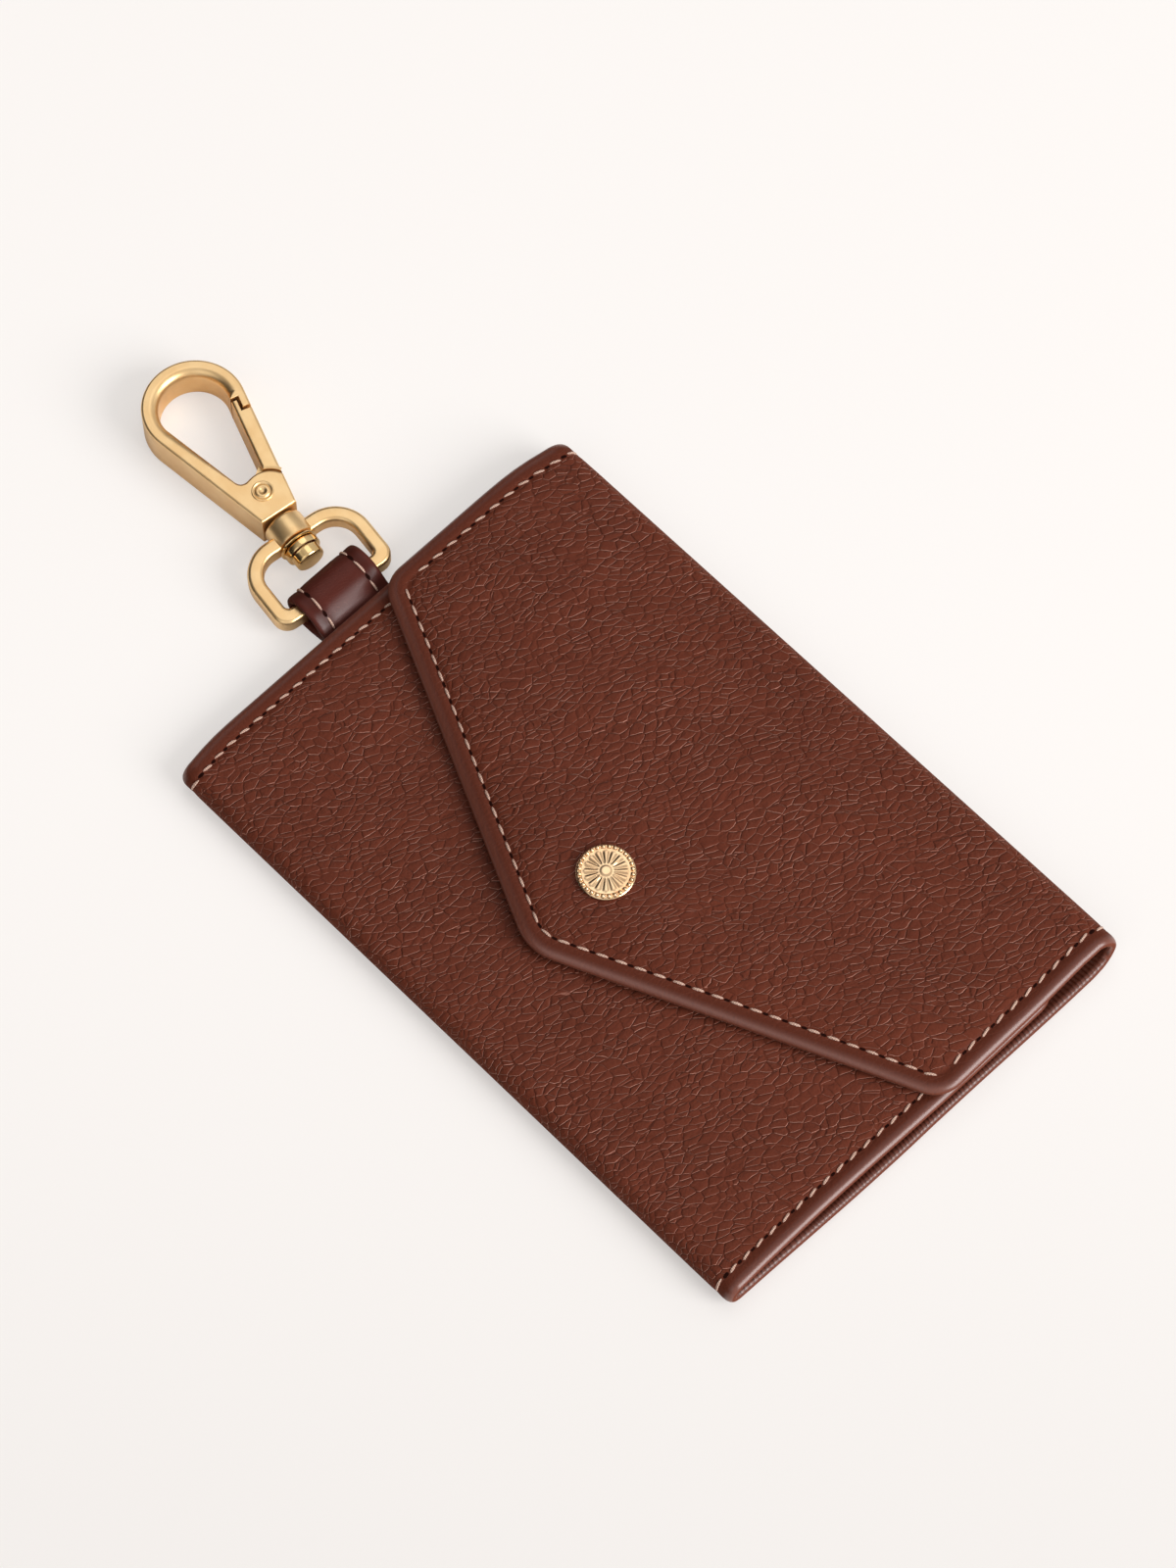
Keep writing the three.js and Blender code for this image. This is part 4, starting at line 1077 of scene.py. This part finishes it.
# %% [markdown]
# ## Turned metal
# The snap, the swivel button and the rivet are round, so they are turned as on a lathe: a profile of
# radius and height is spun about an axis. All small metal is worked in millimetres and set in place at
# the end. A cylinder would need a cut and a bevel for every step, and a profile gives them all at once.

# %% Lathe
def settle(piece, place):
    """Sets a piece worked in millimetres in its place in the model, with its object at the origin."""
    only(piece)
    piece.matrix_world = place @ Matrix.Scale(MM, 4)
    bpy.ops.object.transform_apply(location=True, rotation=True, scale=True)
    return piece


def turned(name, profile, steps=56, smooth=35):
    """Spins a profile of (radius, height) about the Z axis."""
    edges = [(i, i + 1) for i in range(len(profile) - 1)]
    piece = new_piece(name, [(r, 0.0, h) for r, h in profile], edges=edges)
    with editing(piece):
        bpy.ops.mesh.spin(steps=steps, angle=2 * math.pi, center=(0, 0, 0), axis=(0, 0, 1))
    close_up(piece, 1e-3, smooth)
    return piece


def at(x, y, z):
    return Matrix.Translation(Vector((x, y, z)) * MM)


# %% [markdown]
# ## Snap
# The cap is a shallow dome with a beaded rim, a ring of radial flutes and a plain boss, a common pattern
# for such caps. The flutes are raised by moving the dome's points up and down round the axis. They could
# be a bump in the finish, but they show from the side too, so they are real relief. Socket, stud and
# eyelet are plain turned rings that show when the flap is open.

# %% Snap cap
cap_r = (snap_high[0] - snap_low[0]) / 2
cap_face, cap_top = snap_high[2] - 0.95, snap_high[2]
radii = list(np.linspace(0.0, cap_r - 0.75, 22))
dome_profile = [(r, cap_top - 0.1 - 0.24 * (r / cap_r) ** 2) for r in radii]
rim_profile = [(cap_r - 0.7, cap_top - 0.42), (cap_r - 0.62, cap_top - 0.44), (cap_r - 0.3, cap_top - 0.36)]
rim_profile += [(cap_r - 0.12, cap_top - 0.42), (cap_r, cap_top - 0.56), (cap_r - 0.04, cap_face + 0.14)]
rim_profile += [(cap_r - 0.2, cap_face - 0.1), (0.6, cap_face - 0.15)]
rim_profile += [(0.6, snap_low[2]), (0.0, snap_low[2])]
cap = turned("snap_cap_dome", dome_profile + rim_profile, steps=112)
FLUTES, FLUTE_RISE, FLUTE_SINK, BOSS_RISE = 16, 0.2, 0.15, 0.1
for vertex in cap.data.vertices:
    r, angle = math.hypot(vertex.co.x, vertex.co.y), math.atan2(vertex.co.y, vertex.co.x)
    if vertex.co.z > cap_top - 0.5 and r < cap_r - 0.7:
        band = float(smooth_step(1.05, 1.35, r) * (1 - smooth_step(cap_r - 1.25, cap_r - 0.9, r)))
        vertex.co.z += FLUTE_RISE * band * abs(math.cos(FLUTES / 2 * angle)) ** 0.7 - FLUTE_SINK * band
        vertex.co.z += BOSS_RISE * float(1 - smooth_step(0.5, 0.95, r))
BEADS, BEAD_R = 28, 0.36
first_spot = (cap_r - 0.45, 0.0, cap_top - 0.38)
bpy.ops.object.select_all(action="DESELECT")
bpy.ops.mesh.primitive_uv_sphere_add(segments=10, ring_count=6, radius=BEAD_R, location=first_spot)
bead = bpy.context.object
bpy.ops.object.transform_apply(location=True)
beads = [bead]
for number in range(1, BEADS):
    copy = bead.copy()
    copy.data = bead.data.copy()
    copy.rotation_euler = (0.0, 0.0, 2 * math.pi * number / BEADS)
    scene.collection.objects.link(copy)
    beads.append(copy)
only(*beads, cap)
bpy.ops.object.join()
bpy.ops.object.shade_smooth_by_angle(angle=math.radians(50))
settle(cap, at(0.0, SNAP_Y, 0.0))
dress(cap, rose_gold)
ride(cap, "flap", "rose_gold", "snap_cap")

# %% Socket, stud and eyelet
def ring_profile(node, inner, edge):
    """Profile of a flat ring with round edges in a node's box."""
    low, high = node_box(node)
    r = (high[0] - low[0]) / 2
    top = [(inner, high[2] - edge), (inner + edge, high[2]), (r - edge, high[2]), (r, high[2] - edge)]
    foot = [(r, low[2] + edge), (r - edge, low[2]), (inner + edge, low[2]), (inner, low[2] + edge)]
    return top + foot + top[:1]


stud_low, stud_high = node_box("snap_stud")
stud_r = (stud_high[0] - stud_low[0]) / 2
stud_top = stud_high[2]
BALL_R, BALL_FLAT = 1.75, 0.43
ball_z = stud_top - 0.75
ball = arc((0.0, ball_z), BALL_R, 90, -10, 10)
ball = [(max(x, 0.0), ball_z + (y - ball_z) * BALL_FLAT) for x, y in ball]
stud_profile = ball + [(1.45, stud_top - 0.95), (1.5, stud_top - 1.02), (stud_r - 0.2, stud_top - 1.02)]
stud_profile += [(stud_r, stud_top - 1.15), (stud_r - 0.1, stud_top - 1.35), (0.0, stud_top - 1.35)]
for node, body_name, profile in (
    ("snap_socket", "flap", ring_profile("snap_socket", 2.0, 0.22)),
    ("snap_stud", "front", stud_profile),
    ("snap_eyelet", "front", ring_profile("snap_eyelet", 0.7, 0.15)),
):
    piece = settle(turned(node + "_turned", profile), at(0.0, SNAP_Y, 0.0))
    dress(piece, steel)
    ride(piece, body_name, "plated_steel", node)

# %% [markdown]
# ## Clasp
# Ring, hook and gate are flat castings. Each is drawn as a plan in the clasp's own frame, with X along
# the swivel axis, from the bar of the ring. The plan is one face, which is extruded to its thickness, and
# its rims are bevelled. The bevels take the polished finish, which gives the bright and dark lines along
# every edge. Subdivision would soften the whole casting, and bevels keep its flat faces flat.

# %% Clasp frame and casting
axis = Vector(joints["hook_swivel"]["axis"])
up = Vector((0, 0, 1))
bar_place = Vector(joints["ring_swing"]["pos_m"])
CLASP = Matrix.Translation(bar_place) @ Matrix((axis, up.cross(axis), up)).transposed().to_4x4()
ALONG_AXIS = CLASP @ Matrix.Rotation(math.pi / 2, 4, "Y")
print("clasp from", in_mm(bar_place), "mm")


def thicken(height):
    """In edit mode, extrudes the selected faces upwards."""
    bpy.ops.mesh.extrude_region_move(TRANSFORM_OT_translate={"value": (0, 0, height)})
    face_outwards()


def cast(name, plan, half, rim=None, segments=4):
    """Extrudes a plan to a thickness of twice half. rim gives the bevel's width at a place on the plan."""
    piece = new_piece(name, [(x, y, -half) for x, y in plan], [range(len(plan))])
    with editing(piece, "FACE"):
        thicken(2 * half)
    if rim:
        polish_rims(piece, rim, segments)
    return piece


def polish_rims(piece, rim, segments):
    """Bevels the edges round the two flat faces. The bevel takes the second material."""
    mesh = piece.data
    weights = mesh.attributes.new("bevel_weight_edge", "FLOAT", "EDGE")
    spots = np.array([vertex.co for vertex in mesh.vertices])
    flats = {pair for face in mesh.polygons if abs(face.normal.z) > 0.5 for pair in face.edge_keys}
    walls = {pair for face in mesh.polygons if abs(face.normal.z) < 0.5 for pair in face.edge_keys}
    rims = [edge for edge in mesh.edges if edge.key in flats and edge.key in walls]
    widths = {edge.index: rim(spots[list(edge.vertices)].mean(0)) for edge in rims}
    widest = max(widths.values())
    for index, width in widths.items():
        weights.data[index].value = width / widest
    bevel = piece.modifiers.new("rims", "BEVEL")
    bevel.width, bevel.segments, bevel.limit_method, bevel.material = widest, segments, "WEIGHT", 1
    bevel.use_clamp_overlap = False
    only(piece)
    bpy.ops.object.modifier_apply(modifier="rims")


def even_shine(piece, angle=30):
    """Smooths the bevels and lets the large flat faces keep their own direction."""
    only(piece)
    bpy.ops.object.shade_smooth_by_angle(angle=math.radians(angle))
    piece.modifiers.new("flats", "WEIGHTED_NORMAL").keep_sharp = True
    bpy.ops.object.modifier_apply(modifier="flats")


def join(*pieces):
    only(*pieces[1:], pieces[0])
    bpy.ops.object.join()
    return pieces[0]


# %% [markdown]
# ## Swivel ring
# The ring is a D: a bar under the tab, two arms and an arch with a round boss. Its plan has a hole, which
# a face can't have, so the outer and inner outlines are bridged into one flat band, which is then
# extruded and bevelled.

# %% Swivel ring
RING_HALF, RING_BAND, RING_BAR = 9.75, 2.3, 2.2
RING_THICK, RING_TOP, SHOULDER_R, RING_RIM = 2.8, 11.5, 5.8, 0.62
BOSS_R, BOSS_START, BOSS_END = 3.0, 9.25, 13.1


def ring_outline(inset):
    r = RING_HALF - inset
    back = -RING_BAR / 2 + inset * RING_BAR / RING_BAND
    corner = 2.2 - inset * 0.6
    middle = (RING_TOP - SHOULDER_R, RING_HALF - SHOULDER_R)
    arch = arc((middle[0], -middle[1]), SHOULDER_R - inset, -90, 0, 16)
    arch += arc(middle, SHOULDER_R - inset, 0, 90, 16)
    first = arc((back + corner, r - corner), corner, 90, 180, 7)
    second = arc((back + corner, corner - r), corner, 180, 270, 7)
    return arch + first + second


outer, inner = ring_outline(0.0), ring_outline(RING_BAND)
count = len(outer)
loops = [(first + i, first + (i + 1) % count) for first in (0, count) for i in range(count)]
points = [(x, y, -RING_THICK / 2) for x, y in outer + inner]
ring = new_piece("swivel_ring_cast", points, edges=loops)
with editing(ring, "EDGE"):
    bpy.ops.mesh.bridge_edge_loops()
    bpy.ops.mesh.select_all(action="SELECT")
    thicken(RING_THICK)
polish_rims(ring, lambda spot: RING_RIM, 4)
boss_profile = [(0.0, BOSS_START), (BOSS_R - 0.5, BOSS_START), (BOSS_R - 0.12, BOSS_START + 0.2)]
boss_profile += [(BOSS_R, BOSS_START + 0.6), (BOSS_R, BOSS_END - 0.5), (BOSS_R - 0.15, BOSS_END - 0.15)]
boss_profile += [(BOSS_R - 0.5, BOSS_END), (0.0, BOSS_END)]
boss = turned("boss", boss_profile)
boss.data.transform(Matrix.Rotation(math.pi / 2, 4, "Y"))
for face in boss.data.polygons:
    face.material_index = 1
dress(boss, satin_gold, polished_gold)
dress(ring, satin_gold, polished_gold)
ring = join(ring, boss)
even_shine(ring, 35)
settle(ring, CLASP)
ride(ring, "ring", "satin_gold", "swivel_ring")

# %% [markdown]
# ## Hook
# The hook is a drop with a round bow and a straight gate on one side. Its plan goes round the outside,
# along the cheek that holds the gate, back round the inside of the bow, and down to a stepped nose that
# the gate closes against. A slot for the gate's tongue is cut with a Boolean. Drawn as an outline, it has
# true arcs and straight runs, which a modelled cage would only come near.

# %% Hook plan
HOOK_BASE, BASE_HALF, BOW, BOW_R, BAND = 13.4, 2.9, 34.2, 7.5, 2.4
HOOK_HALF, GATE_HALF, PIVOT = 3.1, 2.85, 17.4
NOSE_LIP, NOSE_STEP, NOSE_SPLIT, GATE_GAP = 16.8, 18.6, 1.25, 0.3
CHEEK, CHEEK_R, CHEEK_END = (16.6, -0.6), 3.7, 0.25
FILLET_BEND, FILLET_END = 19.7, 21.0
NOSE_RIM, HOOK_RIM, GATE_RIM = 0.12, 0.4, 0.45
OPENING_RIM, BOW_WIDER = 0.45, 0.85
reach = math.hypot(BOW - HOOK_BASE, BASE_HALF)
lean = math.asin(BOW_R / reach) - math.atan2(BASE_HALF, BOW - HOOK_BASE)
turn = 90 + math.degrees(lean)


def gate_side(along, depth):
    """A point beside the hook's gate side: distance from the base along it, and depth into the metal."""
    x = HOOK_BASE + along * math.cos(lean) + depth * math.sin(lean)
    return x, -BASE_HALF - along * math.sin(lean) + depth * math.cos(lean)


def cheek_angle(depth, radius):
    """Angle on a circle about the cheek's centre where it crosses the gate side at this depth."""
    spots = [gate_side(along, depth) for along in np.linspace(2.0, 12.0, 2001)]
    spot = min(spots, key=lambda p: abs(math.hypot(p[0] - CHEEK[0], p[1] - CHEEK[1]) - radius))
    return math.degrees(math.atan2(spot[1] - CHEEK[1], spot[0] - CHEEK[0]))


def opening_half(x):
    return (BOW_R - BAND - (BOW - x) * math.sin(lean)) / math.cos(lean)


corner = (CHEEK[0] + CHEEK_R * math.cos(CHEEK_END), CHEEK[1] + CHEEK_R * math.sin(CHEEK_END))
handles = [corner] + [(x, opening_half(x)) for x in (FILLET_BEND, FILLET_END)]
fillet = [
    tuple((1 - t) ** 2 * a + 2 * t * (1 - t) * b + t * t * c for a, b, c in zip(*handles))
    for t in np.linspace(0, 1, 9)
]
outside = [gate_side(NOSE_LIP, 0)] + arc((BOW, 0), BOW_R, -turn, turn, 64)
outside += [(HOOK_BASE, BASE_HALF), (HOOK_BASE, -BASE_HALF)]
cheek = arc(CHEEK, CHEEK_R, cheek_angle(0, CHEEK_R), math.degrees(CHEEK_END), 16)
inside = fillet[1:] + arc((BOW, 0), BOW_R - BAND, turn, -turn, 56)
nose = [gate_side(NOSE_STEP, BAND), gate_side(NOSE_STEP, NOSE_SPLIT), gate_side(NOSE_LIP, NOSE_SPLIT)]
hook_plan = outside + cheek + inside + nose


def on_line(spot, line):
    """Whether a place is the middle of one of the line's pieces."""
    line = np.array(line)
    return np.abs((line[1:] + line[:-1]) / 2 - spot[:2]).sum(1).min() < 1e-3


def hook_rim(spot):
    """The opening's edge is polished widest round the bow, and the nose stays crisp."""
    if on_line(spot, [inside[-1]] + nose + [outside[0]]):
        return NOSE_RIM
    if not on_line(spot, inside):
        return HOOK_RIM
    return OPENING_RIM + BOW_WIDER * float(smooth_step(BOW - 7, BOW - 1, spot[0]))


hook = cast("hook_cast", hook_plan, HOOK_HALF, hook_rim, 5)
dress(hook, satin_gold, polished_gold)
print("hook plan of", len(hook_plan), "points")

# %% Slot for the tongue
SLOT_HALF, SLOT_R, SLOT_REACH = 1.45, 2.6, 8.5
swing = gate_side(7.2, 1.3)           # a place in the root of the gate
towards_gate = math.degrees(math.atan2(swing[1], swing[0] - PIVOT))
slot_plan = arc((PIVOT, 0), SLOT_R, towards_gate + 80, towards_gate + 300, 20)
slot_plan += [gate_side(SLOT_REACH, -1.0), gate_side(SLOT_REACH, 4.2)]
slot = cast("slot", slot_plan, SLOT_HALF)
only(hook)
cutter = hook.modifiers.new("slot", "BOOLEAN")
cutter.object, cutter.operation, cutter.solver = slot, "DIFFERENCE", "EXACT"
bpy.ops.object.modifier_apply(modifier="slot")
bpy.data.objects.remove(slot)
even_shine(hook)
settle(hook, CLASP)
ride(hook, "hook", "satin_gold", "hook_body")

# %% [markdown]
# ## Gate
# The gate fills the gap between the cheek and the nose with a running gap all round. A thin tongue with
# an eye goes into the hook's slot and turns on the pin. It turns, so it is cast by itself and not with
# the hook.

# %% Gate
TONGUE_HALF, EYE_R, TONGUE_REACH = 1.3, 2.3, 8.4
lip = NOSE_LIP - GATE_GAP
step = NOSE_STEP - GATE_GAP
split = NOSE_SPLIT + GATE_GAP
root_r = CHEEK_R + GATE_GAP
root = arc(CHEEK, root_r, cheek_angle(0, root_r), cheek_angle(BAND, root_r), 14)
gate_tip = [gate_side(step, BAND), gate_side(step, split), gate_side(lip, split), gate_side(lip, 0)]


def gate_rim(spot):
    return NOSE_RIM if on_line(spot, gate_tip) else GATE_RIM


gate = cast("gate_cast", root + gate_tip, GATE_HALF, gate_rim)
dress(gate, satin_gold, polished_gold)
tongue_plan = arc((PIVOT, 0), EYE_R, towards_gate + 60, towards_gate + 300, 24)
tongue_plan += [gate_side(TONGUE_REACH, 0.5), gate_side(TONGUE_REACH, 2.2)]
tongue = cast("tongue", tongue_plan, TONGUE_HALF)
dress(tongue, satin_gold, polished_gold)
gate = join(gate, tongue)
even_shine(gate)
settle(gate, CLASP)
ride(gate, "gate", "satin_gold", "gate")

# %% [markdown]
# ## Pin and swivel
# The pin's heads are dished rivets with a groove. The swivel stud passes through the boss and ends in a
# two-step button inside the ring, with a washer behind it. All three are round, so they are turned as the
# snap is.

# %% Pin
rivet = [(0.0, 3.13), (0.25, 3.14), (0.4, 3.2), (0.52, 3.3), (0.72, 3.35), (0.92, 3.3), (1.04, 3.16)]
rivet += [(1.16, 3.12), (1.28, 3.16), (1.38, 3.25), (1.48, 3.26), (1.58, 3.2), (1.62, 2.9), (0.0, 2.9)]
heads = [turned("pin_head", rivet), turned("pin_foot", [(r, -h) for r, h in rivet])]
pin = join(*heads)
bpy.ops.object.shade_smooth_by_angle(angle=math.radians(40))
settle(pin, CLASP @ at(PIVOT, 0, 0))
dress(pin, satin_gold)
ride(pin, "hook", "satin_gold", "gate_pin")

# %% Swivel button and washer
button = [(0.0, 5.84), (1.9, 5.84), (2.05, 5.87), (2.15, 5.98), (2.2, 6.15), (2.2, 7.1), (2.26, 7.3)]
button += [(2.45, 7.36), (2.62, 7.48), (2.68, 7.7), (2.68, 8.35), (2.5, 8.55)]
button += [(1.2, 8.6), (1.2, 14.5), (0.0, 14.5)]
washer = [(1.25, 8.76), (2.75, 8.72), (2.93, 8.82), (2.97, 8.92)]
washer += [(2.93, 9.02), (2.75, 9.12), (1.25, 9.08), (1.25, 8.76)]
for node, profile in (("swivel_stud", button), ("swivel_collar", washer)):
    piece = settle(turned(node + "_turned", profile), ALONG_AXIS)
    dress(piece, polished_gold)
    ride(piece, "hook", "satin_gold", node)

# %% [markdown]
# ## Springs and size
# The two small springs keep the model's own solids and only take a finish. Last, the dressed purse's box
# is measured.

# %% Model nodes that stay
for name in ("snap_spring", "gate_spring"):
    dress(frame["nodes"][name], steel)
    print(name, "keeps its solid")

# %% Measure
low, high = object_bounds()
print("dressed box in mm", in_mm(low), in_mm(high))
